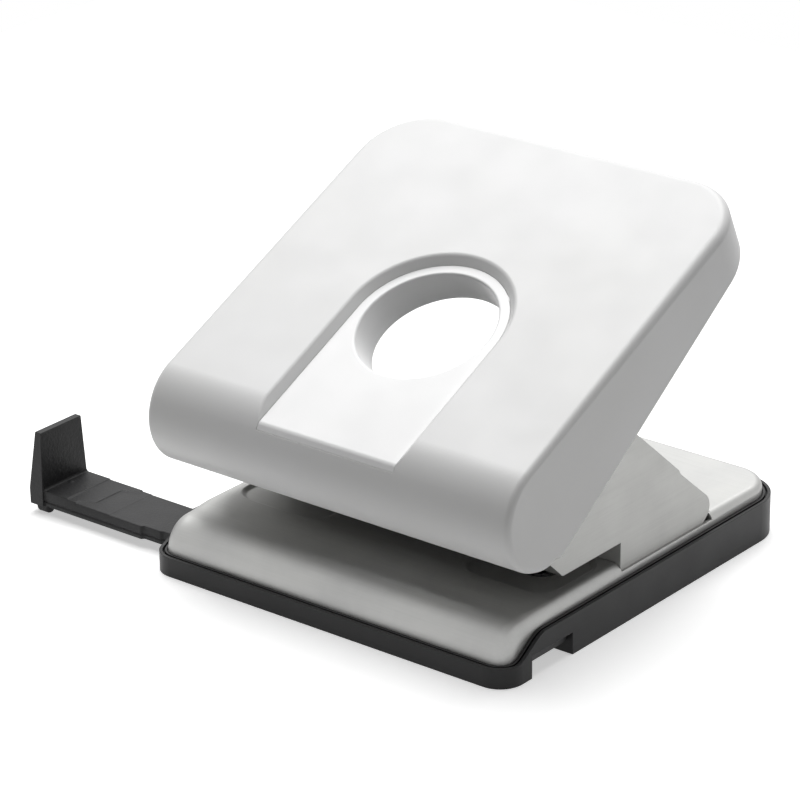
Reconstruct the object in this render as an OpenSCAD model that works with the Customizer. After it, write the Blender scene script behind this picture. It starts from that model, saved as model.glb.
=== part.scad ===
// Manual two-hole desk punch: a pressed steel base in a moulded surround, a steel bridge with
// two sprung punch pins, a moulded lever that turns in the bridge's cheeks, a sliding paper
// guide and a chip tray that swings down. +X is to the user's right, +Y away from the user.
// The origin is on the desk, midway between the sides and 61 mm behind the base's front. The
// width follows from the two holes.

/* [Base surround] */
// Distance from each punched hole to the side of the base
hole_to_side = 19; // [18:0.5:22]
// Depth of the base
base_d = 127; // [123:1:140]
// Height of the surround along the sides and the rear
rim_h = 11.2; // [10.5:0.1:13]
// Height of the surround along the front edge
front_h = 5.5; // [5:0.1:7]
// Plan radius of the front corners
front_r = 7; // [5:0.5:9]
// Plan radius of the rear corners
rear_r = 13.5; // [11:0.5:15]
// Wall of the surround
surround_wall = 2.2; // [2:0.1:3]
// Width of the ledge inside the wall that carries the plate
ledge_w = 1.8; // [1.4:0.1:3]
// Thickness of the surround's floor
floor_t = 1.6; // [1.2:0.1:2]

/* [Base plate] */
// Height of the plate's top above the desk
plate_z = 14.8; // [14:0.1:17]
// Steel sheet thickness of the plate and the bridge
sheet_t = 1.5; // [1:0.1:1.8]
// Radius of the rolled front edge
front_roll_r = 9; // [7:0.5:10]
// Radius of the rolled side edges near the front
side_roll_r = 3.4; // [2.5:0.1:4]
// Radius of the rolled rear edge and rear corners
rear_roll_r = 2; // [1.9:0.1:3]
// Depth of the pressed hollows round the dies
hollow_depth = 0.9; // [0.5:0.1:1.2]

/* [Bridge] */
// Distance of the cheeks inside the sides of the base
cheek_inset = 3.1; // [3:0.1:4]
// Distance of the cheeks' rear ends inside the rear of the base
bridge_rear_gap = 33.6; // [29:0.2:37]
// Height of the slot's upper edge above the desk
slot_top_z = 21; // [20:0.1:22]
// Distance of the paper stop behind the pivot
stop_dy = 33.7; // [32:0.1:36]
// Height of the pin guide above the slot's upper edge
guide_rise = 5.5; // [5:0.1:6.5]

/* [Punches] */
// Distance between the two punched holes
hole_spacing = 80; // [70:1:84]
// Diameter of the punch pins
pin_d = 6; // [5:0.1:6.5]
// Distance of the pins behind the pivot
pin_dy = 21; // [20:0.5:22]
// Outer diameter of the return springs
spring_d = 9; // [8.6:0.1:9.4]
// Wire diameter of the return springs
spring_wire_d = 0.8; // [0.7:0.1:0.9]
// Turns of each return spring
spring_turns = 4.5; // [3.5:1:5.5]

/* [Lever] */
// Distance of the cover's sides inside the sides of the base
lever_inset = 1; // [0.5:0.1:1.2]
// Length of the cover behind the pivot
lever_reach = 102.2; // [92:0.2:106]
// Angle of the raised lever above the level
rest_angle = 25.1; // [22:0.1:27]
// Angle through which the lever is pressed
press_angle = 25; // [20:1:25]
// Height of the cover's top above the pivot
top_rise = 19.4; // [18:0.1:21]
// Distance of the cover's lower edge below the pivot, under the nose
nose_drop = 12.5; // [12:0.1:13.2]
// Plan radius of the cover's rear corners
lever_corner_r = 17; // [14:1:24]
// Wall of the cover
cover_wall = 1.6; // [1.2:0.1:1.7]
// Diameter of the thumb hole
thumb_d = 39.2; // [34:0.2:40]
// Depth of the recess round the thumb hole
recess_depth = 2.6; // [2:0.1:3]
// Depth of the collar below the recess
collar_depth = 12; // [8:0.5:12]
// Distance that the collar leans back over its depth
collar_lean = 2.9; // [0:0.1:3.5]
// Radius of the cover's rear edge
rear_edge_r = 2.6; // [2:0.2:4]
// Height of the pivot above the desk
pivot_z = 41; // [40:0.1:43]
// Diameter of the pivot shaft
shaft_d = 6; // [5:0.1:7]

/* [Paper guide] */
// Distance of the stop's inner face from the middle of the punch
stop_x = 105; // [100:0.5:112]
// Length of the guide's rail from the stop inwards
rail_len = 105; // [100:1:108]
// Width of the guide's rail
rail_w = 17.2; // [15:0.1:18]
// Height of the stop above the rail
stop_h = 17; // [14:0.5:20]

/* [Chip tray] */
// Distance of the tray's sides inside the sides of the base
tray_side = 10; // [10:0.1:11]
// Height of the tray's walls above the desk
tray_h = 8; // [6:0.1:9]
// Wall of the tray
tray_wall = 1.2; // [1:0.1:1.6]

/* [Hidden] */
$fn = 96;
hull_fn = 32;
fine_fn = 48;
overcut = 1;

// Clearances
slide_gap = 0.15;
run_gap = 0.05;
seat_gap = 0.1;
plate_gap = 0.2;
lid_gap = 0.4;

// Places that the driving sizes fix
base_w = hole_spacing + 2 * hole_to_side;
bridge_w = base_w - 2 * cheek_inset;
lever_w = base_w - 2 * lever_inset;
tray_w = base_w - 2 * tray_side;
half_w = base_w / 2;
front_y = -61;
rear_y = front_y + base_d;
pivot_y = front_y + 19;
pin_y = pivot_y + pin_dy;
stop_y = pivot_y + stop_dy;
slot_front_y = pivot_y + 8.7;
cheek_rear_y = rear_y - bridge_rear_gap;
cheek_x = bridge_w / 2;
steel_edge = half_w - surround_wall - plate_gap;
plate_front_y = front_y + surround_wall + plate_gap;
plate_rear_y = rear_y - surround_wall - plate_gap;
under_plate_z = plate_z - sheet_t;
half_press = press_angle / 2;
stroke = 2 * pin_dy * tan(half_press);

// The rim's swan neck, which the plate's front edge follows
neck_front_y = front_y + 4.5;
neck_rear_y = neck_front_y + 12.5;
neck_steps = 14;
skirt_drop = 2.6;

// Guide and tray
rail_front_y = front_y + 9;
rail_z = 2.4;
rail_top_z = 7;
channel_rear_y = rail_front_y + rail_w + slide_gap;
channel_rib_t = 1.2;
hinge_y = rear_y - 18;
hinge_z = 3.2;
hinge_r = 1.4;
tray_swing = 3.3;
hinge_x = tray_w / 2 + 1.6;
tray_front_y = channel_rear_y + channel_rib_t + lid_gap;
tray_lift = 0.4;
notch_y = [front_y + 11, front_y + 28];
notch_top_z = 6.2;
grip_edge_z = 3.5;
grip_arm_w = 3.2;
grip_x = tray_w / 2 - grip_arm_w;

// Punch pins, dies and springs
pin_r = pin_d / 2;
die_flange_r = pin_r + 4;
die_spigot_r = pin_r + 2;
pin_tip_z = slot_top_z + 0.6;
tappet_gap = 0.5;
pin_top_z = pivot_z + pin_dy * tan(half_press) - tappet_gap;
collar_r = spring_d / 2 + 0.7;
collar_t = 1.2;
collar_z = pin_top_z - 1.1 - collar_t;
guide_z = slot_top_z + guide_rise;
guide_top_z = guide_z + sheet_t;

// Lever
half_lever = lever_w / 2;
edge_r = 1.8;
nose_top_r = 15.7;
nose_top_u = -1.4;
nose_low_r = 11.4;
nose_low_u = -3.2;
skirt_slope = 9.7;
skirt_low = 0.9;
recess_floor = top_rise - recess_depth;
insert_t = 1.2;
hole_u = 33.9;
thumb_r = thumb_d / 2;
thumb_taper = 0.6;
recess_top_r = thumb_r + 4.4;
recess_low_r = recess_top_r - recess_depth;
collar_wall = 1.3;
screw_x = 30;
screw_u = 69;
strip_v = 11;
arm_x = cheek_x - sheet_t - 1.4;
shaft_r = shaft_d / 2;
bush_r = shaft_r + 1;

// One height of the rim, front to rear, with an eased step at the neck
function eased(t) = t * t * (3 - 2 * t);
function neck_y(i) = neck_front_y + (neck_rear_y - neck_front_y) * i / neck_steps;
function rim_height(i) = front_h + (rim_h - front_h) * eased(i / neck_steps);

// Region at or below the rim's line, lowered by drop, as a side view in (y, z)
module below_rim(drop) {
  side_prism(base_w + 2 * overcut)
    polygon(concat(
      [[front_y - overcut, -front_roll_r], [front_y - overcut, front_h - drop]],
      [for (i = [0 : neck_steps]) [neck_y(i), rim_height(i) - drop]],
      [[rear_y + overcut, rim_h - drop], [rear_y + overcut, -front_roll_r]]));
}

// Carries a side view drawn in (y, z) along X, centred on the middle plane
module side_prism(width) {
  rotate([90, 0, 90])
    linear_extrude(width, center = true)
      children();
}

// A rectangle with true arcs at its corners, with its own radii front and rear
module rounded_plan(hw, hd, rf, rr) {
  polygon([[-hw + rf, -hd], [hw - rf, -hd], [hw, -hd + rf], [hw, hd - rr],
    [hw - rr, hd], [-hw + rr, hd], [-hw, hd - rr], [-hw, -hd + rf]]);
  for (side = [-1, 1]) {
    translate([side * (hw - rf), -hd + rf]) circle(rf);
    translate([side * (hw - rr), hd - rr]) circle(rr);
  }
}

module base_plan(inset) {
  translate([0, (front_y + rear_y) / 2])
    rounded_plan(half_w - inset, base_d / 2 - inset, front_r - inset, rear_r - inset);
}

// Puts children, drawn about the pivot, at the pivot and turned to an angle
module at_pivot(angle) {
  translate([0, pivot_y, pivot_z]) rotate([angle, 0, 0]) children();
}

module base_surround() {
  color([0.13, 0.13, 0.14]) {
    difference() {
      intersection() {
        linear_extrude(rim_h + overcut) difference() {
          base_plan(0);
          base_plan(surround_wall);
        }
        below_rim(0);
      }
      rim_groove();
      grip_notch();
      rail_window();
    }
    difference() {
      intersection() {
        linear_extrude(rim_h) difference() {
          base_plan(surround_wall - 0.01);
          base_plan(surround_wall + ledge_w);
        }
        below_rim(skirt_drop + seat_gap);
      }
      grip_notch();
      rail_window();
      foot_places() cylinder(r = foot_r + run_gap, h = foot_t);
    }
    surround_floor();
    channel_ribs();
    tray_lugs();
    screw_bosses();
  }
}

// Fine groove that leaves a raised line along the top of the wall
module rim_groove() {
  difference() {
    linear_extrude(rim_h + overcut) difference() {
      base_plan(0.9);
      base_plan(surround_wall - 0.7);
    }
    below_rim(1.1);
  }
}

// Finger notch low in the right wall, in front of the tray
module grip_notch() {
  translate([grip_x - lid_gap, notch_y[0], -overcut])
    cube([half_w - grip_x + lid_gap + overcut, notch_y[1] - notch_y[0], notch_top_z + overcut]);
}

// Window in the left wall for the guide's rail
module rail_window() {
  translate([-half_w - overcut, rail_front_y - slide_gap, rail_z - slide_gap])
    cube([surround_wall + ledge_w + 2 * overcut, rail_w + 2 * slide_gap,
      rail_top_z - rail_z + 2 * slide_gap]);
}

// Floor strip under the guide, and the border round the tray's opening
module surround_floor() {
  difference() {
    linear_extrude(floor_t) difference() {
      base_plan(surround_wall - 0.01);
      translate([-tray_w / 2 - lid_gap, tray_front_y - lid_gap])
        square([tray_w + 2 * lid_gap, hinge_y + tray_swing - tray_front_y + lid_gap]);
    }
    grip_notch();
    foot_places() cylinder(r = foot_r + run_gap, h = foot_t);
    stud_places() screw_bore();
  }
}

// Ribs that guide the rail, with the space between them a sliding fit
module channel_ribs() {
  rib_x = seat_gap + sheet_t - steel_edge;
  rib_len = grip_x - lid_gap - overcut - rib_x;
  for (y = [rail_front_y - slide_gap - channel_rib_t, channel_rear_y])
    translate([rib_x, y, floor_t - 0.01])
      cube([rib_len, channel_rib_t, rail_top_z - 1.5 - floor_t]);
  translate([rib_x, rail_front_y + rail_w / 2 - 2, floor_t - 0.01])
    cube([rib_len, 4, rail_z - floor_t - seat_gap + 0.01]);
}

// Lugs with the bores that the tray's trunnions turn in
module tray_lugs() {
  for (side = [-1, 1])
    difference() {
      translate([side * (hinge_x + 1.4) - 1.4, hinge_y - 3, floor_t - 0.01])
        cube([2.8, 6, hinge_z + hinge_r + 1.6 - floor_t]);
      translate([side * (hinge_x + 1.4) - 3, hinge_y, hinge_z])
        rotate([0, 90, 0]) cylinder(r = hinge_r + run_gap, h = 6);
    }
}

// Where the studs stand beside the tray: two under the bridge's feet, two under the plate
boss_r = 2.1;
stud_x = tray_w / 2 + lid_gap + boss_r + 0.2;
stud_y = [(stop_y + cheek_rear_y) / 2 - 2, hinge_y - 10];
stud_bore = 6;
screw_len = 7;
stud_r = 1.5;
stud_low_z = 3.6;
screw_r = 0.9;
screw_head_r = 1.6;
screw_head_z = 1.2;

module stud_places() {
  for (x = [-1, 1], y = stud_y) translate([x * stud_x, y, 0]) children();
}

// Bore and counterbore for a screw from below
module screw_bore() {
  translate([0, 0, -overcut]) cylinder(r = screw_r + 0.1, h = 2 * stud_low_z);
  translate([0, 0, -overcut]) cylinder(r = screw_head_r + 0.15, h = screw_head_z + overcut);
}

// Bosses that the studs stand on
module screw_bosses() {
  stud_places()
    difference() {
      translate([0, 0, floor_t - 0.01])
        cylinder(r = boss_r, h = stud_low_z - seat_gap - floor_t + 0.01);
      screw_bore();
    }
}

// Steel studs welded under the bridge's feet and the plate, each with a bore for its screw
module base_studs() {
  color([0.6, 0.6, 0.6])
    for (x = [-1, 1], i = [0, 1])
      translate([x * stud_x, stud_y[i], stud_low_z])
        difference() {
          cylinder(r = stud_r, h = (i == 0 ? cheek_foot_z : under_plate_z) - stud_low_z);
          translate([0, 0, -overcut]) cylinder(r = screw_r + run_gap, h = stud_bore);
        }
}

module surround_screws() {
  color([0.7, 0.7, 0.7])
    stud_places() {
      translate([0, 0, 0.2]) cylinder(r = screw_head_r, h = screw_head_z - 0.25);
      translate([0, 0, 0.3]) cylinder(r = screw_r, h = screw_len);
    }
}

// Rubber feet let into the floor, flush with its underside
foot_r = 3.6;
foot_t = 1.1;
front_foot_in = 8;
rear_foot_in = [4, 5.9];

module foot_places() {
  for (x = [-1, 1]) {
    translate([x * (grip_x - front_foot_in), rail_front_y + rail_w / 2, -0.001]) children();
    translate([x * (grip_x - rear_foot_in[0]), rear_y - rear_foot_in[1], -0.001]) children();
  }
}

module rubber_feet() {
  color([0.08, 0.08, 0.08])
    translate([0, 0, 0.001]) foot_places() cylinder(r = foot_r, h = foot_t - seat_gap);
}

// The plate's outer form, drawn in from its surface by inset
module plate_form(inset) {
  hull() {
    for (a = [0 : 15 : 90])
      translate([0, plate_front_y + front_roll_r, front_h]) rotate([0, 90, 0])
        cylinder(r = front_roll_r - plate_corner_r + (plate_corner_r - inset) * cos(a),
          h = 2 * (steel_edge - plate_corner_r + (plate_corner_r - inset) * sin(a)),
          center = true, $fn = fine_fn);
    for (side = [-1, 1]) {
      translate([side * (steel_edge - plate_corner_r), plate_front_y + plate_corner_r, -inset])
        cylinder(r = plate_corner_r - inset, h = front_h, $fn = fine_fn);
      translate([side * (steel_edge - side_roll_r), neck_rear_y + side_roll_r,
        plate_z - side_roll_r])
        sphere(side_roll_r - inset, $fn = hull_fn);
      translate([side * (steel_edge - rear_plate_r), plate_rear_y - rear_plate_r,
        plate_z - rear_roll_r]) {
        rotate_extrude($fn = fine_fn) translate([rear_plate_r - rear_roll_r, 0])
          circle(rear_roll_r - inset, $fn = hull_fn);
        translate([0, 0, rear_roll_r - plate_z - inset])
          cylinder(r = rear_plate_r - inset, h = 1, $fn = fine_fn);
      }
    }
  }
}

rear_plate_r = rear_r - surround_wall - plate_gap;
plate_corner_r = front_r - surround_wall - plate_gap;
hollow_half_len = 14.6;
hollow_x = 37;
hollow_front_y = pivot_y + 7.2;
hollow_rear_y = stop_y - 1;
hollow_r = 6;

// Pressed hollow round a die, one sheet deep or less, with sloping sides
module hollow_form(drop, grow) {
  hull()
    for (x = [-1, 1], y = [0, 1])
      translate([x * (hollow_half_len - hollow_r), y == 0 ? hollow_front_y + hollow_r
        : hollow_rear_y - hollow_r, plate_z - drop])
        cylinder(r1 = hollow_r - hollow_depth + grow, r2 = hollow_r + grow, h = hollow_depth,
          $fn = hull_fn);
}

module base_plate() {
  color([0.62, 0.62, 0.6])
    difference() {
      union() {
        difference() {
          plate_form(0);
          plate_form(sheet_t);
        }
        for (side = [-1, 1]) translate([side * hollow_x, 0, -sheet_t])
          hollow_form(hollow_depth, sheet_t / 2);
      }
      below_rim(skirt_drop);
      rail_window();
      for (side = [-1, 1]) {
        translate([side * hollow_x, 0, 0.001]) hollow_form(hollow_depth, 0);
        translate([side * hole_spacing / 2, pin_y, 0])
          cylinder(r = die_spigot_r + run_gap, h = plate_z);
        cheek_cutout(side);
        for (y = foot_rivet_y) translate([side * foot_rivet_x, y, under_plate_z - overcut])
          cylinder(r = rivet_r + run_gap, h = sheet_t + 2 * overcut);
      }
    }
}

// Opening in the rolled edge that a cheek of the bridge comes up through
module cheek_cutout(side) {
  inner_x = cheek_x - sheet_t - seat_gap;
  relief_x = inner_x - sheet_t;
  translate([side > 0 ? relief_x : -inner_x - 0.01, stop_y - seat_gap, cheek_foot_z])
    cube([sheet_t + 0.01, cheek_rear_y - stop_y - 2.5, sheet_t + seat_gap]);
  translate([side > 0 ? inner_x : -half_w, stop_y - seat_gap, under_plate_z - 0.3])
    cube([half_w - inner_x, cheek_rear_y - stop_y, 10]);
  translate([side > 0 ? inner_x : -cheek_x - seat_gap, stop_y - seat_gap, front_h])
    cube([sheet_t + 2 * seat_gap, cheek_rear_y - stop_y - 2.5, plate_z]);
}

// Bridge: cheeks, foot flanges, slanted front, punch bed and paper stop
cheek_foot_z = under_plate_z - sheet_t - seat_gap;
foot_rivet_in = 8;
foot_rivet_x = cheek_x - foot_rivet_in;
foot_rivet_y = [stop_y + foot_rivet_in - 2, cheek_rear_y - foot_rivet_in - 1];
rivet_r = 1.5;
pivot_boss_r = 10.5;

// A cheek's outline in (y, z)
module cheek_outline() {
  brow = [stop_y + 0.9, pivot_z + 12.6];
  heel = [cheek_rear_y - 5, slot_top_z - 3.7];
  heel_r = 4.35;
  difference() {
    union() {
      translate([pivot_y, pivot_z]) circle(pivot_boss_r);
      translate(heel) circle(heel_r);
      polygon([[slot_front_y, slot_top_z], [slot_front_y - 4.9, slot_top_z + 4.6],
        [pivot_y - 2, pivot_z - 10.1], [pivot_y - pivot_boss_r, pivot_z],
        [pivot_y - 1, pivot_z + pivot_boss_r - 0.1], [pivot_y + 22, brow[1]],
        brow + [-4, 0], brow + [0.8, -0.7], [cheek_rear_y - 15.2, pivot_z - 8.7],
        [cheek_rear_y - 14.4, pivot_z - 10.1], heel + heel_r * [0.655, 0.755], heel,
        [cheek_rear_y - 0.2, slot_top_z - 5.7], [cheek_rear_y - 2, slot_top_z - 5.7],
        [cheek_rear_y - 3.2, under_plate_z], [cheek_rear_y - 3.2, cheek_foot_z],
        [stop_y, cheek_foot_z], [stop_y, slot_top_z]]);
    }
    translate([pivot_y, pivot_z]) circle(shaft_r + run_gap);
  }
}

module bridge_frame() {
  inner_w = bridge_w - 2 * sheet_t + 0.02;
  color([0.67, 0.67, 0.65]) {
    for (side = [-1, 1])
      translate([side * (cheek_x - sheet_t / 2), 0, 0])
        side_prism(sheet_t) cheek_outline();
    difference() {
      union() {
        side_prism(inner_w) bed_outline();
      }
      for (side = [-1, 1])
        translate([side * hole_spacing / 2, pin_y, slot_top_z - overcut])
          cylinder(r = pin_r + run_gap, h = sheet_t + 2 * overcut);
    }
    for (side = [-1, 1]) foot_flange(side);
  }
}

// Slanted front, punch bed and paper stop, one folded sheet in (y, z)
module bed_outline() {
  lip = [slot_front_y - 4.9, slot_top_z + 4.6];
  polygon([[slot_front_y, slot_top_z], lip, lip + [-1.2, 1.1], lip + [-1.2, 5.5],
    lip + [-1.2 + sheet_t, 5.5], lip + [-1.2 + sheet_t, 1.9],
    [slot_front_y + 0.8, slot_top_z + sheet_t], [stop_y + sheet_t, slot_top_z + sheet_t],
    [stop_y + sheet_t, plate_z + seat_gap], [stop_y, plate_z + seat_gap], [stop_y, slot_top_z]]);
}

// Flange bent inwards under the plate, riveted to it
module foot_flange(side) {
  flange_w = 14;
  difference() {
    translate([side > 0 ? cheek_x - sheet_t + 0.01 - flange_w : -cheek_x + sheet_t - 0.01,
      stop_y, cheek_foot_z])
      cube([flange_w, cheek_rear_y - 3.2 - stop_y, sheet_t]);
    for (y = foot_rivet_y) translate([side * foot_rivet_x, y, cheek_foot_z - overcut])
      cylinder(r = rivet_r + run_gap, h = sheet_t + 2 * overcut);
  }
}

module bridge_rivets() {
  color([0.75, 0.75, 0.74])
    for (side = [-1, 1], y = foot_rivet_y)
      translate([side * foot_rivet_x, y, 0]) {
        translate([0, 0, cheek_foot_z - 1]) cylinder(r = rivet_r + 1, h = 1);
        translate([0, 0, cheek_foot_z - 0.01])
          cylinder(r = rivet_r, h = plate_z + 0.02 - cheek_foot_z);
        translate([0, 0, plate_z]) cylinder(r1 = rivet_r + 1, r2 = rivet_r + 0.5, h = 0.6);
      }
}

// Upper guide: a sheet across the bridge with lugs turned up and welded to the cheeks
lug_h = 6;
guide_len = 18;

module pin_guide() {
  span = bridge_w - 2 * sheet_t - 2 * seat_gap;
  color([0.7, 0.7, 0.68])
    difference() {
      union() {
        translate([-span / 2, pin_y - guide_len / 2, guide_z]) cube([span, guide_len, sheet_t]);
        for (side = [-1, 1])
          translate([side * (span - sheet_t) / 2 - sheet_t / 2, pin_y - guide_len / 2, guide_z])
            cube([sheet_t, guide_len, lug_h]);
      }
      for (side = [-1, 1])
        translate([side * hole_spacing / 2, pin_y, guide_z - overcut])
          cylinder(r = pin_r + run_gap, h = sheet_t + 2 * overcut);
    }
}

module die_ring(side) {
  floor_z = plate_z - hollow_depth;
  color([0.55, 0.56, 0.58])
    translate([side * hole_spacing / 2, pin_y, 0])
      difference() {
        union() {
          translate([0, 0, floor_z - sheet_t - 0.01])
            cylinder(r = die_spigot_r, h = sheet_t + 0.01);
          translate([0, 0, floor_z - sheet_t - 2]) cylinder(r = die_flange_r, h = 2 - seat_gap);
          translate([0, 0, floor_z - sheet_t - seat_gap - 0.01])
            cylinder(r = die_spigot_r, h = seat_gap + 0.02);
        }
        translate([0, 0, floor_z - sheet_t - 2 - overcut])
          cylinder(r = pin_r + run_gap, h = sheet_t + 2 + 2 * overcut);
      }
}

// Shaft, clips and bushes
module pivot_shaft() {
  color([0.78, 0.78, 0.8])
    at_pivot(0)
      rotate([0, 90, 0])
        difference() {
          cylinder(r = shaft_r, h = bridge_w, center = true);
          for (side = [-1, 1])
            translate([0, 0, side * (clip_x + clip_t / 2) - clip_t / 2 - run_gap])
              difference() {
                cylinder(r = shaft_r + overcut, h = clip_t + 2 * run_gap);
                cylinder(r = shaft_r - 0.6, h = clip_t + 2 * run_gap);
              }
        }
}

clip_t = 0.8;
clip_x = arm_x + 0.25;

module shaft_clips() {
  color([0.35, 0.35, 0.37])
    at_pivot(0)
      for (side = [-1, 1])
        rotate([0, 90, 0]) translate([0, 0, side * (clip_x + clip_t / 2)])
          difference() {
            cylinder(r = shaft_r + 1.8, h = clip_t, center = true);
            cylinder(r = shaft_r - 0.55, h = clip_t + overcut, center = true);
            translate([0, -shaft_r + 0.9, -overcut])
              cube([2 * shaft_r + 4, 2 * shaft_r - 1.8, 2 * overcut]);
          }
}

module shaft_bushes() {
  color([0.85, 0.85, 0.82])
    at_pivot(0)
      for (side = [-1, 1]) rotate([0, side * 90, 0])
        difference() {
          union() {
            translate([0, 0, arm_x - sheet_t - 2]) cylinder(r = bush_r, h = sheet_t + 2);
            translate([0, 0, arm_x - sheet_t - 2]) cylinder(r = bush_r + 1.4, h = 1.9);
          }
          translate([0, 0, arm_x - sheet_t - 3]) cylinder(r = shaft_r + run_gap, h = sheet_t + 4);
        }
}

// Punch pin: domed head, groove for its collar, saddle-ground cutting end
module punch_pin(side) {
  dome_r = 3 * pin_r;
  color([0.8, 0.8, 0.82])
    translate([side * hole_spacing / 2, pin_y, 0])
      difference() {
        intersection() {
          translate([0, 0, pin_tip_z]) cylinder(r = pin_r, h = pin_top_z - pin_tip_z);
          translate([0, 0, pin_top_z - dome_r]) sphere(dome_r);
        }
        translate([0, 0, pin_tip_z - 2.6]) rotate([0, 90, 0])
          cylinder(r = 4, h = 4 * pin_r, center = true);
        translate([0, 0, collar_z - run_gap]) difference() {
          cylinder(r = pin_r + overcut, h = collar_t + 2 * run_gap);
          cylinder(r = pin_r - 0.5, h = collar_t + 2 * run_gap);
        }
      }
}

module pin_collar(side) {
  color([0.4, 0.4, 0.42])
    translate([side * hole_spacing / 2, pin_y, collar_z])
      difference() {
        cylinder(r = collar_r, h = collar_t);
        translate([0, 0, -overcut]) cylinder(r = pin_r - 0.45, h = collar_t + 2 * overcut);
        translate([0, -pin_r + 0.9, -overcut])
          cube([collar_r + overcut, 2 * pin_r - 1.8, collar_t + 2 * overcut]);
      }
}

// Return spring: one round wire wound about the pin, both ends turned square to their seats
spring_rings_per_turn = 8;
wire_sides = 6;
wire_r = spring_wire_d / 2;
coil_r = spring_d / 2 - wire_r;
spring_low_z = guide_top_z + seat_gap;
spring_high_z = collar_z - seat_gap;
coil_low_z = spring_low_z + 1.6 * spring_wire_d;
coil_high_z = spring_high_z - 1.6 * spring_wire_d;
coil_steps = round(spring_turns * spring_rings_per_turn);

function coil_point(i) = let(turn = 360 * i / spring_rings_per_turn)
  [coil_r * cos(turn), coil_r * sin(turn),
   coil_low_z + (coil_high_z - coil_low_z) * i / coil_steps];
spring_path = concat(
  [[coil_r, 0, spring_low_z], [coil_r, 0, spring_low_z + spring_wire_d]],
  [for (i = [0 : coil_steps]) coil_point(i)],
  let(last = coil_point(coil_steps))
  [[last[0], last[1], spring_high_z - spring_wire_d], [last[0], last[1], spring_high_z]]);
function unit(v) = v / norm(v);
function path_heading(path, i) = i == 0 || i == len(path) - 1 ? [0, 0, 1]
  : unit(unit(path[i + 1] - path[i]) + unit(path[i] - path[i - 1]));
function wire_ring(path, i) = let(
    heading = path_heading(path, i),
    outward = unit([path[i][0], path[i][1], 0]),
    across = unit(cross(heading, outward)),
    true_out = cross(across, heading))
  [for (k = [0 : wire_sides - 1]) path[i] + wire_r * (cos(360 * k / wire_sides) * true_out
    + sin(360 * k / wire_sides) * across)];
wire_points = [for (i = [0 : len(spring_path) - 1]) each wire_ring(spring_path, i)];
wire_faces = let(n = wire_sides, last = len(spring_path) - 1) concat(
  [for (k = [1 : n - 2]) [0, k, k + 1]],
  [for (k = [1 : n - 2]) [last * n, last * n + k + 1, last * n + k]],
  [for (i = [0 : last - 1], k = [0 : n - 1]) each
    [[i * n + k, (i + 1) * n + k, i * n + (k + 1) % n],
     [i * n + (k + 1) % n, (i + 1) * n + k, (i + 1) * n + (k + 1) % n]]]);
spring_gap = min([for (i = [0 : coil_steps - 5], j = [i + 5 : coil_steps])
  norm(coil_point(i) - coil_point(j))]) - spring_wire_d;
echo(least_gap_between_turns = spring_gap);

module return_spring(side) {
  color([0.72, 0.73, 0.75])
    translate([side * hole_spacing / 2, pin_y, 0])
      polyhedron(wire_points, wire_faces);
}

// The lever's pieces are drawn about the pivot: x across, y along the top, z square to the top

// Rounded end of a disc across the lever, with its edge radius in steps
module nose_disc(r, inset) {
  for (a = [0, 30, 60, 90]) {
    half = half_lever - inset - edge_r * (1 - sin(a));
    rotate([0, 90, 0])
      cylinder(r = r - inset - edge_r * (1 - cos(a)), h = 2 * half, center = true, $fn = fine_fn);
  }
}

// The cover's full outer form, drawn in from its surface by inset and run down to bottom
module lever_form(inset, bottom) {
  hull() {
    translate([0, nose_top_u, top_rise - nose_top_r]) nose_disc(nose_top_r, inset);
    translate([0, nose_low_u, nose_low_r - nose_drop]) nose_disc(nose_low_r, inset);
    for (side = [-1, 1])
      translate([side * (half_lever - lever_corner_r), lever_reach - lever_corner_r, 0]) {
        translate([0, 0, top_rise - rear_edge_r])
          rotate_extrude($fn = fine_fn) translate([lever_corner_r - rear_edge_r, 0])
            circle(rear_edge_r - inset, $fn = 24);
        translate([0, 0, bottom])
          cylinder(r = lever_corner_r - inset, h = top_rise - rear_edge_r - bottom, $fn = fine_fn);
      }
  }
}

// Everything under the sloping lower edge of the skirt
module below_skirt() {
  translate([-half_lever - overcut, 0, -nose_drop - skirt_low])
    rotate([skirt_slope, 0, 0]) translate([0, 0, -pivot_z])
      cube([lever_w + 2 * overcut, 1.3 * lever_reach, pivot_z]);
}

// Space in front of the flat top that follows the nose, for pieces that end flush with it
module nose_limit(inset) {
  translate([0, nose_top_u, top_rise - nose_top_r]) rotate([0, 90, 0])
    cylinder(r = nose_top_r - inset, h = lever_w, center = true);
  translate([-half_lever, nose_top_u, 0]) cube([lever_w, lever_reach, top_rise]);
}

// U-shaped plan round the thumb hole, open at the nose
module recess_plan(r) {
  translate([0, hole_u]) circle(r);
  translate([-r, -20]) square([2 * r, hole_u + 20]);
}

// The recess with its walls sloping out at 45 degrees
module recess_form() {
  translate([0, hole_u, recess_floor])
    cylinder(r1 = recess_low_r, r2 = recess_top_r + 0.1, h = recess_depth + 0.1);
  translate([0, hole_u, 0]) rotate([90, 0, 0])
    linear_extrude(hole_u + 20)
      polygon([[-recess_low_r, recess_floor], [recess_low_r, recess_floor],
        [recess_top_r + 0.1, top_rise + 0.1], [-recess_top_r - 0.1, top_rise + 0.1]]);
}

// Hangers inside the cover that turn on the shaft
hanger_x = arm_x - 8;
hanger_t = 2.4;

module hangers() {
  for (side = [-1, 1])
    translate([side * hanger_x, 0, 0])
      side_prism(hanger_t)
        difference() {
          union() {
            circle(shaft_r + 3);
            polygon([[-shaft_r - 3, 0], [shaft_r + 3, 0], [16, top_rise - cover_wall + 0.1],
              [-4, top_rise - cover_wall + 0.1], [-shaft_r - 3, 9]]);
          }
          circle(shaft_r + run_gap);
        }
}

cover_boss_r = 3.4;
cover_bore_r = 1.2;
cover_screw_r = 1.5;
cover_head_r = 2.8;

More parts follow.
